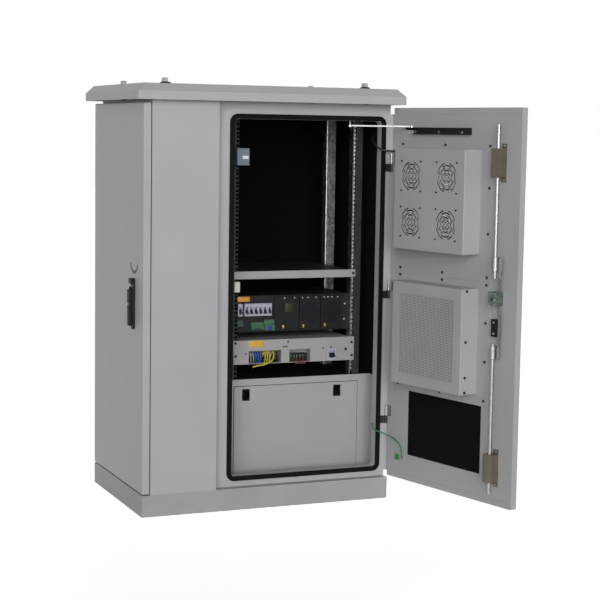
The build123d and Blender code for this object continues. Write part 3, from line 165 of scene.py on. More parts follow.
@dataclass(frozen=True)
class Finish:
    """One surface finish, built as a node material the first time it is asked for."""

    name: str
    colour: str
    shade: str
    patch_mm: float
    roughness: tuple[float, float]
    bump_mm: float = 1.0
    bump: float = 0.1
    metallic: float = 0.0
    ior: float = 1.5
    grain: Grain = Grain.CLOUD

    def material(self) -> bpy.types.Material:
        """Give the finish's material, building it once."""
        known = bpy.data.materials.get(self.name)
        return known if known else self.build()

    def build(self) -> bpy.types.Material:
        """Build the node material.

        Returns:
            The new material.
        """
        material = bpy.data.materials.new(self.name)
        material.use_nodes = True
        tree = material.node_tree
        tree.nodes.clear()
        place = add_node(tree, "ShaderNodeTexCoord").outputs["Object"]
        patches = add_node(tree, self.grain.value, {"Scale": 1 / (self.patch_mm * MM)}, {"Vector": place})
        share = patches.outputs["Fac" if self.grain is Grain.CLOUD else "Color"]
        tones = add_node(tree, "ShaderNodeValToRGB", {}, {"Fac": share})
        for stop, colour, position in zip(tones.color_ramp.elements, (self.shade, self.colour), TONE_SHARES):
            stop.color = linear(colour)
            stop.position = position
        gloss = add_node(
            tree,
            "ShaderNodeMapRange",
            {"To Min": self.roughness[0], "To Max": self.roughness[1]},
            {"Value": share},
        )
        pimples = add_node(
            tree,
            "ShaderNodeTexNoise",
            {"Scale": 1 / (self.bump_mm * MM), "Detail": BUMP_DETAIL},
            {"Vector": place},
        )
        relief = add_node(
            tree,
            "ShaderNodeBump",
            {"Strength": self.bump, "Distance": self.bump_mm * MM * BUMP_DEPTH_SHARE},
            {"Height": pimples.outputs["Fac"]},
        )
        shader = add_node(
            tree,
            "ShaderNodeBsdfPrincipled",
            {"Metallic": self.metallic, "IOR": self.ior},
            {
                "Base Color": tones.outputs["Color"],
                "Roughness": gloss.outputs["Result"],
                "Normal": relief.outputs["Normal"],
            },
        )
        add_node(tree, "ShaderNodeOutputMaterial", {}, {"Surface": shader.outputs["BSDF"]})
        return material


# Polyester powder coat: satin, with a soft orange peel drawn coarse enough to show
PAINT = Finish("powder_coat_grey", "#ACACAE", "#A7A7A9", 240, (0.44, 0.52), 4, 0.08, ior=1.42)
# The same coat on the plinth, a little darker and duller
PLINTH_PAINT = Finish("powder_coat_plinth", "#A09F9F", "#999898", 180, (0.48, 0.58), 4, 0.1, ior=1.42)
# The same coat, painted a little darker as shade for the pieces inside the bay
PAINTED_SHADE_COAT = Finish("powder_coat_painted_shade", "#A2A1A1", "#9C9B9B", 220, (0.45, 0.55), 4, 0.08)
# Hot-dip galvanised sheet: pale with a faint spangle of zinc crystals
GALVANISED = Finish(
    "galvanised_steel", "#C9C9CC", "#A8A9AE", 9, (0.28, 0.45), 6, 0.05, metallic=1.0, grain=Grain.SPANGLE
)
# Zinc plate on rods, screws and hinge leaves: bright, with small uneven patches
ZINC = Finish("zinc_plated_steel", "#B2B2B5", "#96969B", 5, (0.22, 0.34), 2, 0.05, metallic=1.0)
# Faded yellow passivated zinc: a warm grey on the rod guides
GUIDE_ZINC = Finish("yellow_passivated_zinc", "#7B7367", "#6E665A", 60, (0.38, 0.5), 3, 0.06, metallic=0.7)
# Green-grey passivated zinc on the lock case
GREEN_ZINC = Finish("green_passivated_zinc", "#8C988F", "#737F78", 12, (0.32, 0.45), 3, 0.06, metallic=1.0)
# Polished chrome on the stay rod
CHROME = Finish("chrome_plate", "#E4E4E6", "#D6D6DA", 6, (0.06, 0.12), 2, 0.01, metallic=1.0)
# Brass catches
BRASS = Finish("brass", "#B79A55", "#9C8142", 4, (0.25, 0.38), 1, 0.04, metallic=1.0)
# Black powder coat: dark satin with a fine grain
BLACK_STEEL = Finish("black_powder_coat", "#161717", "#111212", 60, (0.45, 0.55), 2, 0.15, ior=1.38)
# Dark phosphate on the cabinet's hinge halves and the lock's square; on the rail flanges the same dark tone is
# painted dark reflection and shade on galvanised steel
DARK_STEEL = Finish("phosphate_and_painted_reflection", "#3A3B3D", "#2C2D2F", 14, (0.38, 0.5), 2, 0.08, metallic=0.6)
# Charcoal sheet of the power unit
CHARCOAL = Finish("charcoal_powder_coat", "#19191D", "#141417", 80, (0.5, 0.6), 1.5, 0.15, ior=1.3)
# Moulded charcoal faces of the plug-in modules
MODULE = Finish("charcoal_abs", "#17171A", "#121215", 40, (0.5, 0.6), 0.8, 0.12, ior=1.28)
# Navy mesh of the modules' fan grilles
NAVY_GRILLE = Finish("navy_grille", "#0B0C15", "#07080F", 3, (0.55, 0.65), 1.5, 0.5, ior=1.3)
# Light sheet of the distribution unit
LIGHT_SHEET = Finish("pale_powder_coat", "#9C999A", "#959293", 120, (0.42, 0.52), 2, 0.08)
# Pale breaker mouldings
BREAKER = Finish("pale_polyamide", "#A9A9B6", "#9E9EAC", 15, (0.42, 0.5), 0.8, 0.08, ior=1.53)
# Dark toggles, smooth from the mould
TOGGLE = Finish("navy_polyamide", "#17182A", "#111222", 10, (0.3, 0.4), 0.6, 0.05, ior=1.53)
# Green pluggable terminals
GREEN = Finish("green_polyamide", "#255C3E", "#1C4A31", 8, (0.4, 0.5), 0.6, 0.06, ior=1.53)
# Deep green terminal beside them
DEEP_GREEN = Finish("deep_green_polyamide", "#183A29", "#122D20", 8, (0.4, 0.5), 0.6, 0.06, ior=1.53)
# Blue plug under the tall terminal
BLUE = Finish("blue_polyamide", "#22346F", "#1B2B5E", 8, (0.38, 0.48), 0.6, 0.06, ior=1.53)
# Closed-cell foam: black, dull, with a skin of fine pores
FOAM = Finish("closed_cell_foam", "#070708", "#040405", 26, (0.9, 1.0), 3.5, 0.5, ior=1.2)
# Moulded EPDM seal: black with a slight bloom
SEAL = Finish("epdm_rubber", "#060607", "#040404", 18, (0.75, 0.9), 1.2, 0.12, ior=1.25)
# Black moulded fan plastic
BLACK_PLASTIC = Finish("black_pbt", "#0C0C0E", "#08080A", 12, (0.45, 0.56), 0.8, 0.08, ior=1.35)
# Black die-cast handles with a fine textured coat
HANDLE = Finish("black_die_cast", "#0C0C0D", "#080809", 12, (0.45, 0.56), 0.9, 0.2, ior=1.32)
# Powder coat of the perforated sheet in the filter's window
GRILLE_PAINT = Finish("powder_coat_grille", "#AEAEAF", "#A7A7A8", 90, (0.45, 0.55), 3, 0.06)
# Matted filter fibres: dark grey and fuzzy
FILTER_MAT = Finish("polyester_filter_mat", "#09090A", "#050505", 3, (0.9, 1.0), 1.2, 0.8, ior=1.2)
# Blue-grey moulded sensor case
SENSOR = Finish("blue_grey_abs", "#6C7684", "#646E7C", 20, (0.4, 0.5), 0.8, 0.08, ior=1.54)
# Ivory switch case
IVORY = Finish("ivory_abs", "#E2DFD6", "#D8D5CB", 16, (0.3, 0.4), 0.8, 0.05, ior=1.54)
# Dark matt print of the side latch's turn mark
DARK_MARK = Finish("dark_print", "#18181D", "#131317", 12, (0.4, 0.5), 1, 0.02, ior=1.4)
# Display pane: dark olive liquid crystal behind acrylic
DISPLAY = Finish("display_acrylic", "#2C300E", "#252909", 10, (0.3, 0.38), 2, 0.01, ior=1.35)
# Small indicator lenses and the sensor's pane
LENS = Finish("clear_lens", "#E9EAEC", "#DCDDE0", 3, (0.15, 0.22), 1, 0.01, ior=1.49)


def sheath(name: str, colour: str, shade: str) -> Finish:
    """Give the finish of a cord's or wire's sheath: smooth extruded PVC."""
    return Finish(name, colour, shade, 6, (0.35, 0.45), 0.8, 0.05, ior=1.53)


def film(name: str, colour: str, shade: str) -> Finish:
    """Give the finish of a blank tag: smooth and slightly glossy polyester film."""
    return Finish(name, colour, shade, 12, (0.28, 0.36), 1, 0.02, ior=1.58)


# Sheaths of the two cords and of the wires in the rack
GREEN_SHEATH = sheath("green_pvc", "#2F7D3C", "#24682F")
BLACK_SHEATH = sheath("black_pvc", "#1A1B1C", "#131415")
YELLOW_SHEATH = sheath("yellow_pvc", "#C2B43A", "#A99C2C")
BLUE_SHEATH = sheath("blue_pvc", "#2E4FA6", "#25418C")
PALE_SHEATH = sheath("grey_pvc", "#8E9096", "#7F8187")
RED_SHEATH = sheath("red_pvc", "#56171B", "#451215")
# Blank tags on the two rack units and by the door's earth stud
ORANGE_TAG = film("orange_film", "#D98A2E", "#CF8027")
YELLOW_TAG = film("yellow_film", "#C9A132", "#BE972B")
GREEN_TAG = film("green_film", "#3F8F4C", "#378443")


@dataclass(frozen=True)
class WorkFace:
    """A flat face to work on: local x and y lie on it, local z stands out of it, all in millimetres."""

    origin: Vector
    across: Vector
    up: Vector = field(default_factory=lambda: Vector((0, 0, 1)))

    def out(self) -> Vector:
        """Give the direction that stands out of the face."""
        return self.across.cross(self.up)

    def matrix(self) -> Matrix:
        """Give the matrix from local millimetres to the frame in metres."""
        turn = Matrix((self.across, self.up, self.out())).transposed()
        return Matrix.Translation(self.origin) @ turn.to_4x4() @ Matrix.Scale(MM, 4)


def front_face(depth_mm: float) -> WorkFace:
    """Give the face that looks forwards at a depth behind the cabinet's front, x from its left side."""
    return WorkFace(FOOT + Vector((0, depth_mm * MM, 0)), Vector((1, 0, 0)))


def side_face(reach_mm: float) -> WorkFace:
    """Give the face that looks left at a reach from the cabinet's left side, x from its front to the left."""
    return WorkFace(FOOT + Vector((reach_mm * MM, 0, 0)), Vector((0, -1, 0)))


DOOR_FACE = WorkFace(HINGE_EDGE, Vector((-math.cos(DOOR_ANGLE), -math.sin(DOOR_ANGLE), 0)))


def door_wall(reach_mm: float) -> WorkFace:
    """Give the face that looks to the door's free edge at a reach from its hinge, x to its outer skin."""
    return WorkFace(HINGE_EDGE + DOOR_FACE.across * (reach_mm * MM), -DOOR_FACE.out())


def deselect() -> None:
    """Leave edit mode and deselect everything."""
    if bpy.context.object and bpy.context.object.mode != "OBJECT":
        bpy.ops.object.mode_set(mode="OBJECT")
    bpy.ops.object.select_all(action="DESELECT")


def take(piece: bpy.types.Object) -> None:
    """Make one piece the only selected and active one.

    Args:
        piece: The object to take.
    """
    deselect()
    piece.select_set(True)
    bpy.context.view_layer.objects.active = piece


@contextmanager
def editing(piece: bpy.types.Object) -> Iterator[None]:
    """Open a piece in face edit mode with nothing selected, and close it again.

    Args:
        piece: The mesh object to edit.
    """
    take(piece)
    bpy.ops.object.mode_set(mode="EDIT")
    bpy.ops.mesh.select_mode(type="FACE")
    bpy.ops.mesh.select_all(action="DESELECT")
    yield
    bpy.ops.object.mode_set(mode="OBJECT")


def pick(piece: bpy.types.Object, test: FaceTest) -> None:
    """Select, in edit mode, the faces that pass a test.

    Args:
        piece: The mesh object in edit mode.
        test: Takes a face's centre and normal.
    """
    mesh = bmesh.from_edit_mesh(piece.data)
    for face in mesh.faces:
        face.select_set(test(face.calc_center_median(), face.normal))
    bmesh.update_edit_mesh(piece.data)


def name_piece(piece: bpy.types.Object, name: str) -> bpy.types.Object:
    """Name a piece and its mesh alike.

    Args:
        piece: The object to name.
        name: Its new name.
    Returns:
        The piece.
    """
    piece.name = name
    piece.data.name = name
    return piece


def block(name: str, low: Place, high: Place, round_mm: float) -> bpy.types.Object:
    """Model a rounded block between two corners, in millimetres.

    Args:
        name: The piece's name.
        low: Lowest corner.
        high: Highest corner.
        round_mm: Width of the rounded edges.
    Returns:
        The new piece.
    """
    deselect()
    middle = [(a + b) / 2 for a, b in zip(low, high)]
    size = [b - a for a, b in zip(low, high)]
    bpy.ops.mesh.primitive_cube_add(size=1, location=middle)
    piece = name_piece(bpy.context.object, name)
    piece.scale = size
    bpy.ops.object.transform_apply(location=True, rotation=True, scale=True)
    with editing(piece):
        bpy.ops.mesh.select_all(action="SELECT")
        bpy.ops.mesh.bevel(offset=round_mm, segments=EDGE_STEPS, affect="EDGES")
    return piece


@dataclass(frozen=True)
class Head:
    """A round or hexagon head: sizes in millimetres, and its recess as a share of its height."""

    radius: float
    height: float
    rim: float
    hollow_share: float = 0.5
    sides: int = 12

    def build(self, name: str) -> bpy.types.Object:
        """Model the head with a rounded rim and a recess in its top, standing on the origin.

        Args:
            name: The piece's name.
        Returns:
            The new piece.
        """
        deselect()
        bpy.ops.mesh.primitive_cylinder_add(
            vertices=self.sides, radius=self.radius, depth=self.height, location=(0, 0, self.height / 2)
        )
        piece = name_piece(bpy.context.object, name)
        bpy.ops.object.transform_apply(location=True, rotation=True, scale=True)
        with editing(piece):
            pick(piece, lambda centre, normal: normal.z > TOP_TILT)
            bpy.ops.mesh.bevel(offset=self.rim, segments=EDGE_STEPS, affect="EDGES")
            pick(piece, lambda centre, normal: normal.z > FLAT_TILT)
            if self.hollow_share > 0:
                sink = (0, 0, -self.height * self.hollow_share)
                bpy.ops.mesh.inset(thickness=self.radius * RECESS_SHARE)
                bpy.ops.mesh.extrude_region_move(TRANSFORM_OT_translate={"value": sink})
        return piece


def repeat(pattern: bpy.types.Object, name: str, places: Sequence[Place]) -> bpy.types.Object:
    """Copy a pattern to each place with its own mesh, join the copies and delete the pattern.

    Args:
        pattern: The piece to copy.
        name: Name of the joined piece.
        places: Where each copy stands, in local millimetres.
    Returns:
        The joined piece.
    """
    copies = []
    for place in places:
        copy = pattern.copy()
        copy.data = pattern.data.copy()
        copy.data.transform(Matrix.Translation(place))
        bpy.context.scene.collection.objects.link(copy)
        copies.append(copy)
    bpy.data.objects.remove(pattern)
    return join(name, copies)


def join(name: str, pieces: Sequence[bpy.types.Object]) -> bpy.types.Object:
    """Join pieces into one and name it.

    Args:
        name: Name of the joined piece.
        pieces: The pieces to join, or a single one.
    Returns:
        The joined piece.
    """
    take(pieces[0])
    for piece in pieces:
        piece.select_set(True)
    if len(pieces) > 1:
        bpy.ops.object.join()
    return name_piece(bpy.context.object, name)


def spline(name: str, points: Sequence[Vector], radius: float) -> bpy.types.Object:
    """Draw a smooth curve over control points.

    Args:
        name: The curve's name.
        points: Control points, with the ends touched.
        radius: Radius of the tube round it, or 0 for the bare line.
    Returns:
        The curve's object.
    """
    data = bpy.data.curves.new(name, "CURVE")
    data.dimensions = "3D"
    data.bevel_depth = radius
    data.bevel_resolution = TUBE_STEPS
    data.use_fill_caps = True
    data.resolution_u = CURVE_STEPS
    line = data.splines.new("NURBS")
    line.points.add(len(points) - 1)
    for control, point in zip(line.points, points):
        control.co = (*point, 1.0)
    line.order_u = CURVE_ORDER
    line.use_endpoint_u = True
    curve = bpy.data.objects.new(name, data)
    bpy.context.scene.collection.objects.link(curve)
    return curve


def tube(name: str, points: Sequence[Vector], radius: float) -> bpy.types.Object:
    """Make a mesh tube along a smooth curve.

    Args:
        name: The piece's name.
        points: Control points of the curve.
        radius: The tube's radius.
    Returns:
        The tube.
    """
    take(spline(name, points, radius))
    bpy.ops.object.convert(target="MESH")
    return name_piece(bpy.context.object, name)


def thicken(piece: bpy.types.Object, thickness: float, offset: float) -> None:
    """Give a flat piece a wall.

    Args:
        piece: The flat piece.
        thickness: Thickness of the wall, in millimetres.
        offset: Where the wall lies, from -1 behind the flat piece to 1 before it.
    """
    wall = piece.modifiers.new("wall", "SOLIDIFY")
    wall.thickness = thickness
    wall.offset = offset
    take(piece)
    bpy.ops.object.modifier_apply(modifier=wall.name)


def bent_strip(name: str, centre: Place, radius: float, width: float, ends: Spot) -> bpy.types.Object:
    """Model a thin flat strip bent round a centre.

    Args:
        name: The piece's name.
        centre: Centre of the bend, in local millimetres.
        radius: Radius of the strip's middle line.
        width: Width of the strip.
        ends: Angles of its two ends, in degrees.
    Returns:
        The strip.
    """
    deselect()
    bpy.ops.mesh.primitive_grid_add(x_subdivisions=STRIP_STEPS, y_subdivisions=1, size=1)
    strip = name_piece(bpy.context.object, name)
    for vertex in strip.data.vertices:
        angle = math.radians(ends[0] + (vertex.co.x + 0.5) * (ends[1] - ends[0]))
        reach = radius - vertex.co.y * width
        vertex.co = Vector(centre) + reach * Vector((math.cos(angle), math.sin(angle), 0))
    thicken(strip, STRIP_WALL, 0)
    return strip


def paint(piece: bpy.types.Object, finish: Finish) -> bpy.types.Object:
    """Give a piece one finish all over.

    Args:
        piece: The piece to finish.
        finish: Its finish.
    Returns:
        The piece.
    """
    piece.data.materials.clear()
    piece.data.materials.append(finish.material())
    return piece


def settle(
    piece: bpy.types.Object, face: WorkFace, body: str, smooth: float = FOLD_SMOOTH
) -> bpy.types.Object:
    """Move a piece from local millimetres to its face in the frame, smooth it and let it ride on a body.

    Args:
        piece: The finished piece.
        face: The face it was modelled on.
        body: The body that carries it.
        smooth: Largest angle, in degrees, that is shaded smooth.
    Returns:
        The piece.
    """
    piece.data.transform(face.matrix())
    take(piece)
    bpy.ops.object.shade_smooth_by_angle(angle=math.radians(smooth))
    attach(piece, body)
    LOG.info("%s rides on %s", piece.name, body)
    return piece


@dataclass
class Casing:
    """Finishes of the CAD nodes, and softened copies of the sheets whose edges show."""

    edge_mm: float = 0.7
    merge_mm: float = 0.01
    edge_angle: float = math.radians(35)
    smooth_angle: float = math.radians(30)
    flat_weight: int = 100
    facing: float = 0.7
    fans: int = 4
    breakers: int = 7
    switch_top: float = 1.0
    lock_case: Spot = (0.7, 0.9)
    washer_top: float = 1.5165
    deep_green_end: float = -0.04
    window_top: float = 0.54
    side_inner: float = 26.0
    key_stand: float = 0.0486
    grilles: tuple[Spot, ...] = ((0.224, 0.684), (0.311, 0.684))
    grille_reach: float = 0.0381
    seal_corner: float = 0.031
    seal_middle: float = 0.024
    seal_outer: float = 0.001
    seal_inner: float = 0.0025
    plain: dict[str, Finish] = field(
        default_factory=lambda: {
            # Painted shade: the bay's floor takes the darker copy of the coat
            "base_pan": PAINTED_SHADE_COAT,
            "rear_panel": PAINT,
            "right_panel": PAINT,
            "partition": PAINT,
            "top_pan": PAINT,
            "front_frame": PAINT,
            "side_frame": PAINT,
            "door_skin": PAINT,
            "side_gasket": SEAL,
            "insulation_sheets": FOAM,
            "fan_frames": BLACK_PLASTIC,
            "filter_pad": FILTER_MAT,
            "stay_rod": CHROME,
            "lower_rod": ZINC,
            "upper_rod": ZINC,
            "handle_spindle": ZINC,
            "side_handle_spindle": ZINC,
            "distribution_toggle": TOGGLE,
        }
    )
    softened: dict[str, Finish] = field(
        default_factory=lambda: {
            "roof": PAINT,
            "plinth": PLINTH_PAINT,
            "front_left_panel": PAINT,
            "door_pan": PAINT,
            "side_door_pan": PAINT,
            "fan_unit": PAINT,
            "filter_unit": PAINT,
            # Painted shade: the battery box and the cover take the darker copy of the coat
            "battery_box": PAINTED_SHADE_COAT,
            "lower_cover": PAINTED_SHADE_COAT,
            "power_chassis": CHARCOAL,
            "distribution_unit": LIGHT_SHEET,
            "breaker_bodies": BREAKER,
            "cabinet_hinges": DARK_STEEL,
            "door_hinges": ZINC,
            "stay_bracket": BLACK_STEEL,
            "handle_base": HANDLE,
            "side_handle_base": HANDLE,
        }
    )

    def dress(self, nodes: dict[str, bpy.types.Object]) -> None:
        """Finish every CAD node.

        Args:
            nodes: The frame's node objects.
        """
        for name, finish in self.plain.items():
            paint(nodes[name], finish)
        for index in range(self.fans):
            paint(nodes[f"fan_rotor_{index + 1}"], BLACK_PLASTIC)
        for index in range(self.breakers):
            paint(nodes[f"breaker_toggle_{index + 1}"], TOGGLE)
        for name, finish in self.softened.items():
            self.soften(nodes[name], finish)
        self.widen_seal(self.soften(nodes["front_gasket"], SEAL))
        modules = self.soften(nodes["plug_in_modules"], MODULE)
        # Rails: the right rear rail and faces that turn sideways are galvanised, the left front rail is black,
        # and the rest, mostly forward faces, take dark steel as painted dark reflection and shade
        self.split(
            nodes["rack_rails"],
            DARK_STEEL,
            (GALVANISED, lambda c, n: c.x > 0 and (c.y > 0 or abs(n.x) > self.facing)),
            (BLACK_STEEL, lambda c, n: c.x < 0 and c.y < 0),
            (GALVANISED, lambda c, n: c.x < 0 and c.y > 0 and abs(n.x) > self.facing),
        )
        self.split(nodes["rack_shelf"], BLACK_STEEL, (LIGHT_SHEET, lambda c, n: n.y < -self.facing))
        self.split(nodes["sensor_boxes"], SENSOR, (IVORY, lambda c, n: c.z < self.switch_top))
        low, high = self.lock_case
        self.split(nodes["lock_fittings"], GUIDE_ZINC, (GREEN_ZINC, lambda c, n: low < c.z < high))
        self.split(nodes["roof_bolts"], ZINC, (SEAL, lambda c, n: c.z < self.washer_top))
        self.split(
            nodes["terminal_blocks"],
            GREEN,
            (DEEP_GREEN, lambda c, n: c.x < self.deep_green_end),
            (BLACK_PLASTIC, lambda c, n: c.z < self.window_top),
        )
        self.split(modules, MODULE, (NAVY_GRILLE, self.on_grille))
        for name, face in (("handle_lever", DOOR_FACE), ("side_handle_lever", side_face(self.side_inner))):
            key = face.origin.dot(face.out())
            outward = -1 if face is DOOR_FACE else 1
            lever = self.soften(nodes[name], HANDLE)
            self.split(
                lever,
                HANDLE,
                (ZINC, lambda c, n: outward * (c.dot(face.out()) - key) > self.key_stand),
            )

    def on_grille(self, centre: Vector, normal: Vector) -> bool:
        """Tell whether a face's centre lies on a round grille of the plug-in modules, whatever its normal."""
        return min(math.dist((centre.x, centre.z), spot) for spot in self.grilles) < self.grille_reach

    def soften(self, node: bpy.types.Object, finish: Finish) -> bpy.types.Object:
        """Copy a node, merge it, round its edges and let the copy stand for it.

        Args:
            node: The CAD node's object.
            finish: The finish of the copy.
        Returns:
            The copy.
        """
        copy = node.copy()
        copy.data = node.data.copy()
        copy.parent = None
        bpy.context.scene.collection.objects.link(copy)
        name_piece(copy, f"{node.name}_sheet")
        with editing(copy):
            bpy.ops.mesh.select_all(action="SELECT")
            bpy.ops.mesh.remove_doubles(threshold=self.merge_mm * MM)
        rounding = copy.modifiers.new("edge", "BEVEL")
        rounding.width = self.edge_mm * MM
        rounding.segments = EDGE_STEPS
        rounding.limit_method = "ANGLE"
        rounding.angle_limit = self.edge_angle
        take(copy)
        bpy.ops.object.modifier_apply(modifier=rounding.name)
        bpy.ops.object.shade_smooth_by_angle(angle=self.smooth_angle)
        flat = copy.modifiers.new("flat", "WEIGHTED_NORMAL")
        flat.weight = self.flat_weight
        flat.keep_sharp = True
        bpy.ops.object.modifier_apply(modifier=flat.name)
        paint(copy, finish)
        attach(copy, node["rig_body"])
        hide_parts(node.name)
        LOG.info("%s stands for %s", copy.name, node.name)
        return copy

    def widen_seal(self, seal: bpy.types.Object) -> None:
        """Move both lips of the front seal apart, as far as the hinge leaves of the closed door allow.

        Args:
            seal: The copy that stands for the seal.
        """
        low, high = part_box("front_gasket")
        for vertex in seal.data.vertices:
            core = vertex.co.copy()
            core.x = min(max(core.x, low.x + self.seal_corner), high.x - self.seal_corner)
            core.z = min(max(core.z, low.z + self.seal_corner), high.z - self.seal_corner)
            out = vertex.co - core
            spread = self.seal_outer if out.length > self.seal_middle else -self.seal_inner
            vertex.co += out.normalized() * spread

    def split(self, piece: bpy.types.Object, first: Finish, *others: tuple[Finish, FaceTest]) -> None:
        """Give a piece several finishes, each further one on the faces that pass its test.

        Args:
            piece: A CAD node's object or a copy that stands for it.
            first: Finish of most faces.
            others: Each further finish, with a test that takes a face's centre and normal.
        """
        paint(piece, first)
        for index, (finish, test) in enumerate(others, start=1):
            piece.data.materials.append(finish.material())
            for face in piece.data.polygons:
                if test(face.center, face.normal):
                    face.material_index = index


@dataclass
class FilterFace:
    """Perforated sheet behind the filter unit's window, finer than the part's own solid."""

    left: float = 141.0
    right: float = 445.0
    bottom: float = 489.0
    top: float = 788.0
    columns: int = 41
    rows: int = 53
    web_shares: Spot = (0.32, 0.52)
    stand: float = 75.5
    thickness: float = 1.5
    smooth: float = 20

    def build(self) -> bpy.types.Object:
        """Model the sheet from a grid of webs and slots whose slot cells are deleted, then thicken it.

        Returns:
            The perforated sheet.
        """
        deselect()
        counts = (self.columns, self.rows)
        lines = [2 * count + 1 for count in counts]
        bpy.ops.mesh.primitive_grid_add(x_subdivisions=lines[0], y_subdivisions=lines[1], size=1)
        sheet = name_piece(bpy.context.object, "filter_perforated_sheet")
        starts = (self.left, self.bottom)
        spans = (self.right - self.left, self.top - self.bottom)
        pitches = [span / (count + web) for span, count, web in zip(spans, counts, self.web_shares)]
        for vertex in sheet.data.vertices:
            for axis in range(2):
                step, second = divmod(round((vertex.co[axis] + 0.5) * lines[axis]), 2)
                vertex.co[axis] = starts[axis] + pitches[axis] * (step + second * self.web_shares[axis])
            vertex.co.z = self.stand

        def is_slot(centre: Vector, normal: Vector) -> bool:
            """Tell whether a cell of the grid is a slot and not a web."""
            places = [(at - start) / pitch % 1 for at, start, pitch in zip(centre, starts, pitches)]
            return all(place > web for place, web in zip(places, self.web_shares))

        with editing(sheet):
            pick(sheet, is_slot)
            bpy.ops.mesh.delete(type="FACE")
        thicken(sheet, self.thickness, -1)
        return sheet

    def dress(self) -> None:
        """Paint the sheet and let it stand for the grille node."""
        sheet = paint(self.build(), GRILLE_PAINT)
        settle(sheet, DOOR_FACE, "front_door", smooth=self.smooth)
        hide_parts("filter_grille")


@dataclass
class Fasteners:
    """Screws that hold the door's units, the stay bracket and the cover on the filter box's side."""

    head: float = 5.0
    head_height: float = 3.0
    rim_share: float = 0.3
    fan_head: float = 3.4
    unit_face: float = 1.5
    box_face: float = 77.0
    fan_reach: float = 52.5
    fan_middle: Spot = (290.0, 1120.0)
    fan_pitch: Spot = (190.0, 163.0)
    flange_columns: tuple[float, ...] = (56.0, 289.0, 521.0)
    flange_rows: tuple[float, ...] = (1313.0, 864.0, 838.0, 436.0)
    edge_x: float = 521.0
    edge_rows: tuple[float, ...] = (1170.0, 1013.0, 707.0, 572.0)
    bracket_z: float = 1357.0
    bracket_face: float = 2.0
    bracket_columns: tuple[float, ...] = (124.0, 252.0, 375.0)
    wall_reach: float = 480.0
    wall_stand: float = 55.0
    wall_rows: tuple[float, ...] = (815.0, 639.0, 515.0, 463.0)

    def head_piece(self, radius: float) -> bpy.types.Object:
        """Model one pan head with a socket."""
        return Head(radius, self.head_height, radius * self.rim_share).build("pan_head")

    def fan_corners(self) -> list[Place]:
        """Find the four corner screws of each of the four fans.

        Returns:
            Where each screw stands on the door's face.
        """
        signs = (-1, 1)
        middle_x, middle_z = self.fan_middle
        pitch_x, pitch_z = self.fan_pitch
        centres = [
            (middle_x + column * pitch_x / 2, middle_z + row * pitch_z / 2)
            for row in signs
            for column in signs
        ]
        return [
            (x + across * self.fan_reach, z + up * self.fan_reach, self.box_face)
            for x, z in centres
            for across in signs
            for up in signs
        ]

    def dress(self) -> None:
        """Place every set of screws."""
        flange = [(x, z, self.unit_face) for z in self.flange_rows for x in self.flange_columns]
        flange += [(self.edge_x, z, self.unit_face) for z in self.edge_rows]
        wall = [(-self.wall_stand, z, 0.0) for z in self.wall_rows]
        bracket = [(x, self.bracket_z, self.bracket_face) for x in self.bracket_columns]
        for name, radius, places, face, finish, slot in (
            ("unit_screws", self.head, flange, DOOR_FACE, BLACK_STEEL, "black_steel"),
            ("filter_side_screws", self.head, wall, door_wall(self.wall_reach), BLACK_STEEL, "black_steel"),
            ("fan_screws", self.fan_head, self.fan_corners(), DOOR_FACE, BLACK_STEEL, "black_steel"),
            ("bracket_screws", self.head, bracket, DOOR_FACE, ZINC, "zinc_steel"),
        ):
            screws = repeat(self.head_piece(radius), name, places)
            settle(paint(screws, finish), face, "front_door")


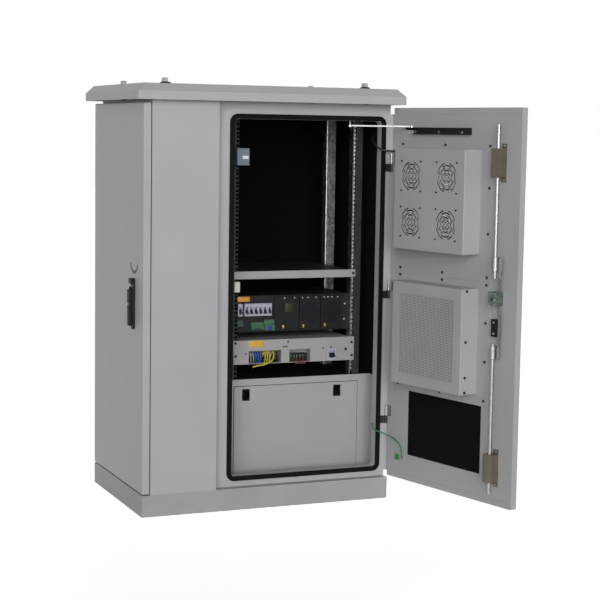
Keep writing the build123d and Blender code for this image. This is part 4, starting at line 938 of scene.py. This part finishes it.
@dataclass
class RackTrim:
    """Trim of the rack bay: faces of the units, blank tags, screws, black strips painted as the shadow of the
    cover's gap, and the hinge strip.
    """

    rail_back: float = 153.0
    module_stand: float = 4.0
    trim_round: float = 0.2
    display: Corners = ((600.5, 687.5, 2.0), (634.5, 719.5, 3.2))
    orange_tag: Corners = ((412.0, 730.0, 0.0), (460.0, 748.0, 0.6))
    yellow_tag: Corners = ((450.0, 564.0, 0.0), (509.0, 588.0, 0.6))
    blue_plug: Corners = ((517.0, 622.5, 6.0), (543.0, 640.0, 14.0))
    rail_strip: Corners = ((861.0, 462.0, 0.0), (866.0, 1390.0, 0.6))
    hinge_strip: Corners = ((949.5, 98.0, 0.0), (971.0, 1420.0, 1.5))
    hinge_strip_depth: float = 40.0
    gasket_splice: Corners = ((581.0, 98.6, -1.0), (599.0, 116.2, 0.6))
    gasket_depth: float = 27.0
    sensor_pane: Corners = ((406.0, 1251.0, 0.0), (429.0, 1262.0, 0.8))
    sensor_depth: float = 120.0
    # Width, height and rounding of the black strips painted as the shadow of the cover's gap, in millimetres
    joint_width: float = 2.0
    joint_height: float = 0.5
    joint_round: float = 0.1
    lens_head: Head = Head(2.0, 1.2, 0.5, hollow_share=0, sides=10)
    lenses: tuple[float, ...] = (596.0, 636.0, 668.0, 690.0, 722.7, 755.2, 771.0, 787.0, 810.4)
    lens_z: float = 740.0
    catch: Corners = ((-4, -6, 0), (4, 6, 5))
    catch_round: float = 1.0
    catches: tuple[Spot, ...] = ((591.8, 634.0), (672.4, 634.0), (759.6, 635.0))
    chassis_head: Head = Head(4.0, 2.4, 1.1)
    chassis_screws: tuple[Spot, ...] = ((842.0, 712.0), (840.0, 655.0))
    ear_head: Head = Head(5.0, 3.0, 1.4)
    ear_screws: tuple[Spot, ...] = (
        (397.7, 581.0), (398.3, 533.0), (862.4, 569.0), (838.2, 544.0), (863.4, 520.0), (863.5, 829.0),
    )
    panel_head: Head = Head(3.2, 1.6, 0.8, hollow_share=0.4)
    panel_dots: tuple[Spot, ...] = (
        (604.4, 579.0), (588.7, 562.8), (598.7, 562.4), (745.9, 551.2), (778.5, 552.5), (438.0, 541.0),
    )
    plug: Corners = ((0, 510, -23), (9, 529, -14))
    plug_round: float = 0.6
    plug_lefts: tuple[float, ...] = (619.0, 631.0, 643.0, 655.0, 667.0)

    def dress(self) -> None:
        """Build and place every trim piece."""
        power = front_face(POWER_DEPTH)
        panel = front_face(PANEL_DEPTH)
        for name, corners, finish, face, slot in (
            ("display_pane", self.display, DISPLAY, power, "module_grey"),
            ("blank_orange_tag", self.orange_tag, ORANGE_TAG, power, "unit_grey"),
            ("blank_yellow_tag", self.yellow_tag, YELLOW_TAG, panel, "panel_grey"),
            ("blue_plug", self.blue_plug, BLUE, power, "green_plastic"),
            ("rail_back_strip", self.rail_strip, GALVANISED, front_face(self.rail_back), "zinc_steel"),
            ("gasket_splice", self.gasket_splice, SEAL, front_face(self.gasket_depth), "seal_black"),
            ("sensor_pane", self.sensor_pane, LENS, front_face(self.sensor_depth), "box_plastic"),
            ("hinge_strip", self.hinge_strip, PAINT, front_face(self.hinge_strip_depth), "grey_paint"),
        ):
            settle(paint(block(name, *corners, self.trim_round), finish), face, "cabinet")
        # Painted shadow: black strips in the seal's finish round the lift-off cover stand for the shade in its
        # gap
        settle(paint(self.cover_shadow_gap(), SEAL), panel, "cabinet")
        stand = self.module_stand
        for name, pattern, places, finish, face, slot in (
            ("indicator_lenses", self.lens_head.build("lens"),
             [(x, self.lens_z, stand) for x in self.lenses], LENS, power, "module_grey"),
            ("module_catches", block("catch", *self.catch, self.catch_round),
             [(x, z, stand) for x, z in self.catches], BRASS, power, "zinc_steel"),
            ("chassis_screws", self.chassis_head.build("screw"),
             [(x, z, 0.0) for x, z in self.chassis_screws], ZINC, power, "zinc_steel"),
            ("ear_screws", self.ear_head.build("screw"),
             [(x, z, 0.0) for x, z in self.ear_screws], BLACK_STEEL, panel, "black_steel"),
            ("panel_screws", self.panel_head.build("screw"),
             [(x, z, 0.0) for x, z in self.panel_dots], BLACK_STEEL, panel, "black_steel"),
            ("window_plugs", block("plug", *self.plug, self.plug_round),
             [(x, 0.0, 0.0) for x in self.plug_lefts], DEEP_GREEN, panel, "green_plastic"),
        ):
            settle(paint(repeat(pattern, name, places), finish), face, "cabinet")

    def cover_shadow_gap(self) -> bpy.types.Object:
        """Model four thin black strips round the lift-off cover, painted as the shadow of the gap between the
        cover and its opening.

        Returns:
            The four strips, joined.
        """
        low, high = ((corner - FOOT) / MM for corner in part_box("lower_cover"))
        wide = self.joint_width
        up = self.joint_height
        strips = []
        for left, bottom, right, top in (
            (low.x - wide, low.z, low.x, high.z),
            (high.x, low.z, high.x + wide, high.z),
            (low.x - wide, low.z - wide, high.x + wide, low.z),
            (low.x - wide, high.z, high.x + wide, high.z + wide),
        ):
            strips.append(block("joint", (left, bottom, 0), (right, top, up), self.joint_round))
        return join("cover_shadow_gap", strips)


@dataclass(frozen=True)
class Wire:
    """A row of like wires in the rack: the first one's control points on a face, and the step to the next."""

    name: str
    finish: Finish
    depth: float
    radius: float
    count: int
    step: float
    route: tuple[Place, ...]

    def dress(self) -> None:
        """Make each wire as a tube, join the row and let it ride on the cabinet."""
        rows = []
        for index in range(self.count):
            points = [Vector(point) + Vector((index * self.step, 0, 0)) for point in self.route]
            rows.append(tube(f"{self.name}_{index + 1}", points, self.radius))
        row = paint(join(self.name, rows), self.finish)
        settle(row, front_face(self.depth), "cabinet", smooth=TUBE_SMOOTH)


WIRES = (
    Wire("blue_wires", BLUE_SHEATH, PANEL_DEPTH, 3.0, 3, 9.0,
         ((478, 526, -23), (478, 547, -15), (479, 540, -5), (481, 516, -6), (482, 504, -16))),
    Wire("pale_wires", PALE_SHEATH, PANEL_DEPTH, 2.4, 2, 10.0,
         ((459, 526, -23), (459, 545, -15), (460, 536, -6), (462, 514, -7), (463, 504, -16))),
    Wire("yellow_wires", YELLOW_SHEATH, PANEL_DEPTH, 2.6, 3, 9.0,
         ((513, 526, -23), (513, 548, -15), (515, 544, -4), (517, 522, -3), (516, 505, -12))),
    Wire("yellow_lead", YELLOW_SHEATH, PANEL_DEPTH, 2.8, 1, 0.0,
         ((545, 526, -23), (546, 548, -14), (550, 538, -2), (545, 515, 4), (515, 500, 7), (485, 497, 7),
          (463, 492, 5))),
    Wire("grey_wires", BLACK_SHEATH, PANEL_DEPTH, 2.6, 2, 9.0,
         ((556, 526, -23), (556, 546, -15), (557, 538, -5), (559, 514, -6), (560, 504, -16))),
    Wire("red_wires", RED_SHEATH, PANEL_DEPTH, 2.2, 3, 13.0,
         ((624, 520, -15), (625, 514, -4), (630, 500, 3), (642, 497, 4), (652, 502, 2), (655, 514, -5),
          (656, 520, -15))),
    Wire("terminal_wires", BLACK_SHEATH, POWER_DEPTH, 2.2, 4, 9.0,
         ((472, 632, 11), (473, 625, 17), (474, 612, 8), (475, 606, -20), (475, 605, -60))),
)


@dataclass
class LockTrim:
    """Rivets and screws of the front lock, the earth studs' nuts and tag, and the side latch's turn mark."""

    screw_head: Head = Head(4.5, 2.6, 1.3)
    rivet_head: Head = Head(2.6, 1.4, 0.9, hollow_share=0)
    nut: Head = Head(7.0, 5.0, 0.8, hollow_share=0, sides=6)
    trim_round: float = 0.2
    housing_x: float = 576.0
    housing_face: float = 15.0
    housing_rows: tuple[float, ...] = (678.0, 716.0)
    ear_x: float = 590.0
    ear_rows: tuple[float, ...] = (1200.0, 1314.0, 156.0, 270.0)
    ear_face: float = 2.0
    case_face: float = 32.0
    case_columns: tuple[float, ...] = (569.0, 597.0)
    case_rows: tuple[float, ...] = (782.0, 815.0)
    square: Corners = ((579.0, 792.0, 31.0), (589.0, 802.0, 37.0))
    stop_pin: Corners = ((589.0, 794.0, 32.5), (603.0, 800.0, 38.5))
    earth_tag: Corners = ((48.0, 149.0, 1.5), (72.0, 172.0, 2.3))
    door_stud: Place = (90.0, 159.0, 3.0)
    frame_stud: Place = (-52.0, 282.0, 2.0)
    frame_stud_reach: float = 913.0
    mark_centre: Place = (-104.5, 902.0, 0.2)
    mark_radius: float = 48.5
    mark_width: float = 10.0
    mark_ends: Spot = (-156.0, -24.0)

    def dress(self) -> None:
        """Build and place every trim piece."""
        fixed = [(self.housing_x, z, self.housing_face) for z in self.housing_rows]
        fixed += [(self.ear_x, z, self.ear_face) for z in self.ear_rows]
        spots = [(x, z, self.case_face) for z in self.case_rows for x in self.case_columns]
        for name, head, places in (
            ("lock_screws", self.screw_head, fixed),
            ("case_rivets", self.rivet_head, spots),
        ):
            heads = repeat(head.build("lock_head"), name, places)
            settle(paint(heads, ZINC), DOOR_FACE, "front_door")
        for name, corners, finish, slot in (
            ("lock_square", self.square, DARK_STEEL, "zinc_steel"),
            ("lock_stop_pin", self.stop_pin, ZINC, "zinc_steel"),
            ("blank_green_tag", self.earth_tag, GREEN_TAG, "green_plastic"),
        ):
            settle(paint(block(name, *corners, self.trim_round), finish), DOOR_FACE, "front_door")
        for name, place, face, body in (
            ("door_earth_nut", self.door_stud, DOOR_FACE, "front_door"),
            ("frame_earth_nut", self.frame_stud, side_face(self.frame_stud_reach), "cabinet"),
        ):
            nut = repeat(self.nut.build("nut"), name, [place])
            settle(paint(nut, ZINC), face, body)
        mark = bent_strip("turn_mark", self.mark_centre, self.mark_radius, self.mark_width, self.mark_ends)
        settle(paint(mark, DARK_MARK), side_face(0.0), "side_door")


@dataclass
class HingeCord:
    """A cord that crosses the front hinge: its route from the cabinet's front left foot, in millimetres."""

    name: str
    node: str
    slot: str
    finish: Finish
    diameter: float
    length: float
    route: tuple[Place, ...]

    def points(self) -> list[Vector]:
        """Give the route in the frame, in metres."""
        return [FOOT + Vector(point) * MM for point in self.route]

    def dress(self) -> None:
        bare = spline(self.name, self.points(), 0)
        bpy.context.view_layer.update()
        centre = bpy.data.meshes.new_from_object(bare)
        bpy.data.objects.remove(bare)
        lead = tube(self.name, self.points(), self.diameter / 2)
        take(lead)
        bpy.ops.object.shade_smooth_by_angle(angle=math.radians(TUBE_SMOOTH))
        paint(lead, self.finish)
        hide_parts(self.node)
        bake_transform(lead)
        LOG.info("%s crosses the hinge", self.name)


EARTH_WIRE = HingeCord(
    "earth_lead", "earth_wire", "green_cord", GREEN_SHEATH, 0.0045, 0.2,
    (
        (907, 48.7, 278.2), (901, 37, 266), (905, 21, 254), (928, 6, 247), (952, -10, 234),
        (962, -45, 226), (969, -64, 209), (975, -68, 184), (976, -62.3, 163.3),
    ),
)
FAN_CABLE = HingeCord(
    "fan_lead", "fan_cable", "black_cord", BLACK_SHEATH, 0.007, 0.175,
    (
        (937.3, 100, 1345), (912, 98, 1342), (898, 78, 1326), (896, 48, 1306),
        (908, 24, 1292), (924, 12, 1287), (942.2, 13.1, 1286), (963.3, 17.9, 1286),
    ),
)


def heading(yaw: float, pitch: float) -> Vector:
    """Give the direction at a yaw from straight ahead towards the right and at an upward pitch."""
    return Vector((math.sin(yaw) * math.cos(pitch), math.cos(yaw) * math.cos(pitch), math.sin(pitch)))


@dataclass
class Studio:
    """Camera at the photograph's viewing angle, a pale floor, a white surround and two soft lights."""

    camera_place: Place = (-2.0955126, -5.5293901, 1.3505429)
    yaw: float = 0.40258
    pitch: float = -0.104536
    roll: float = 0.01602
    focal_pixels: float = 1588.3452
    centre_pixels: Spot = (304.1331, 298.5992)
    image_pixels: float = 600.0
    sensor_mm: float = 36.0
    floor_size: float = 60.0
    ambient_low: float = 0.24
    ambient_high: float = 0.02
    key_strength: float = 3.4
    softness: float = math.radians(50)
    key_yaw: float = 0.36
    key_height: float = math.radians(6)
    rear_strength: float = 1.6
    rear_yaw: float = math.radians(-145)
    rear_height: float = math.radians(15)
    floor_glow: float = 0.73

    def build(self) -> None:
        """Set up the camera, the surround, the floor and the light."""
        self.add_camera()
        self.add_world()
        self.add_floor()
        self.add_sun("key_softbox", self.key_strength, self.key_yaw, self.key_height)
        self.add_sun("rear_softbox", self.rear_strength, self.rear_yaw, self.rear_height)
        bpy.context.scene.view_settings.view_transform = "Standard"

    def add_camera(self) -> None:
        """Place the camera as the photograph's was."""
        data = bpy.data.cameras.new("photo_camera")
        data.sensor_width = self.sensor_mm
        data.lens = self.focal_pixels / self.image_pixels * self.sensor_mm
        half = self.image_pixels / 2
        data.shift_x = (half - self.centre_pixels[0]) / self.image_pixels
        data.shift_y = (self.centre_pixels[1] - half) / self.image_pixels
        ahead = heading(self.yaw, self.pitch)
        level = Vector((math.cos(self.yaw), -math.sin(self.yaw), 0))
        above = level.cross(ahead)
        right = level * math.cos(self.roll) + above * math.sin(self.roll)
        up = above * math.cos(self.roll) - level * math.sin(self.roll)
        camera = bpy.data.objects.new("photo_camera", data)
        turn = Matrix((right, up, -ahead)).transposed()
        camera.matrix_world = Matrix.Translation(self.camera_place) @ turn.to_4x4()
        bpy.context.scene.collection.objects.link(camera)
        bpy.context.scene.camera = camera

    def seen_directly(self, tree: bpy.types.NodeTree) -> bpy.types.NodeSocket:
        """Make a switch for rays that show the surround: straight, mirrored or through glass.

        Args:
            tree: The node tree to add to.
        Returns:
            A socket that is 1 for those rays and 0 for the rest.
        """
        path = add_node(tree, "ShaderNodeLightPath")
        shown = path.outputs["Is Camera Ray"]
        for ray in ("Is Glossy Ray", "Is Transmission Ray"):
            either = add_node(tree, "ShaderNodeMath", {"operation": "MAXIMUM"})
            tree.links.new(shown, either.inputs[0])
            tree.links.new(path.outputs[ray], either.inputs[1])
            shown = either.outputs["Value"]
        return shown

    def add_world(self) -> None:
        """Make a world that looks white and lights softly."""
        world = bpy.data.worlds.new("studio_white")
        world.use_nodes = True
        tree = world.node_tree
        tree.nodes.clear()
        place = add_node(tree, "ShaderNodeTexCoord")
        axes = add_node(tree, "ShaderNodeSeparateXYZ", {}, {"Vector": place.outputs["Generated"]})
        fall = add_node(
            tree,
            "ShaderNodeMapRange",
            {"To Min": self.ambient_low, "To Max": self.ambient_high},
            {"Value": axes.outputs["Z"]},
        )
        soft = add_node(
            tree, "ShaderNodeBackground", {"Color": linear(WHITE)}, {"Strength": fall.outputs["Result"]}
        )
        white = add_node(tree, "ShaderNodeBackground", {"Color": linear(WHITE), "Strength": 1.0})
        both = add_node(tree, "ShaderNodeMixShader", {}, {"Fac": self.seen_directly(tree)})
        tree.links.new(soft.outputs["Background"], both.inputs[1])
        tree.links.new(white.outputs["Background"], both.inputs[2])
        add_node(tree, "ShaderNodeOutputWorld", {}, {"Surface": both.outputs["Shader"]})
        bpy.context.scene.world = world

    def add_floor(self) -> None:
        """Lay a pale floor that keeps the cabinet's shadow."""
        deselect()
        bpy.ops.mesh.primitive_plane_add(size=self.floor_size)
        floor = name_piece(bpy.context.object, "studio_floor")
        material = bpy.data.materials.new("studio_paper")
        material.use_nodes = True
        tree = material.node_tree
        tree.nodes.clear()
        paper = add_node(tree, "ShaderNodeBsdfDiffuse", {"Color": linear(PAPER)})
        glow = add_node(tree, "ShaderNodeMath", {"operation": "MULTIPLY"})
        tree.links.new(self.seen_directly(tree), glow.inputs[0])
        glow.inputs[1].default_value = self.floor_glow
        light = add_node(
            tree, "ShaderNodeEmission", {"Color": linear(WHITE)}, {"Strength": glow.outputs["Value"]}
        )
        both = add_node(tree, "ShaderNodeAddShader")
        tree.links.new(paper.outputs["BSDF"], both.inputs[0])
        tree.links.new(light.outputs["Emission"], both.inputs[1])
        add_node(tree, "ShaderNodeOutputMaterial", {}, {"Surface": both.outputs["Shader"]})
        floor.data.materials.append(material)

    def add_sun(self, name: str, strength: float, yaw: float, height: float) -> None:
        """Hang a large soft light.

        Args:
            name: The light's name.
            strength: Its strength.
            yaw: Which way it shines, from straight ahead towards the right.
            height: How high it hangs, as an angle.
        """
        data = bpy.data.lights.new(name, "SUN")
        data.energy = strength
        data.angle = self.softness
        lamp = bpy.data.objects.new(name, data)
        aim = heading(yaw, -height)
        lamp.matrix_world = aim.to_track_quat("-Z", "Y").to_matrix().to_4x4()
        bpy.context.scene.collection.objects.link(lamp)


def main() -> None:
    """Load the frame, dress it piece by piece and light it."""
    logging.basicConfig(level=logging.INFO, format="%(name)s: %(message)s")
    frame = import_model()
    Studio().build()
    for cord in (EARTH_WIRE, FAN_CABLE):
        cord.dress()
    Casing().dress(frame["nodes"])
    FilterFace().dress()
    Fasteners().dress()
    RackTrim().dress()
    for wire in WIRES:
        wire.dress()
    LockTrim().dress()
    deselect()


if __name__ == "__main__":
    main()
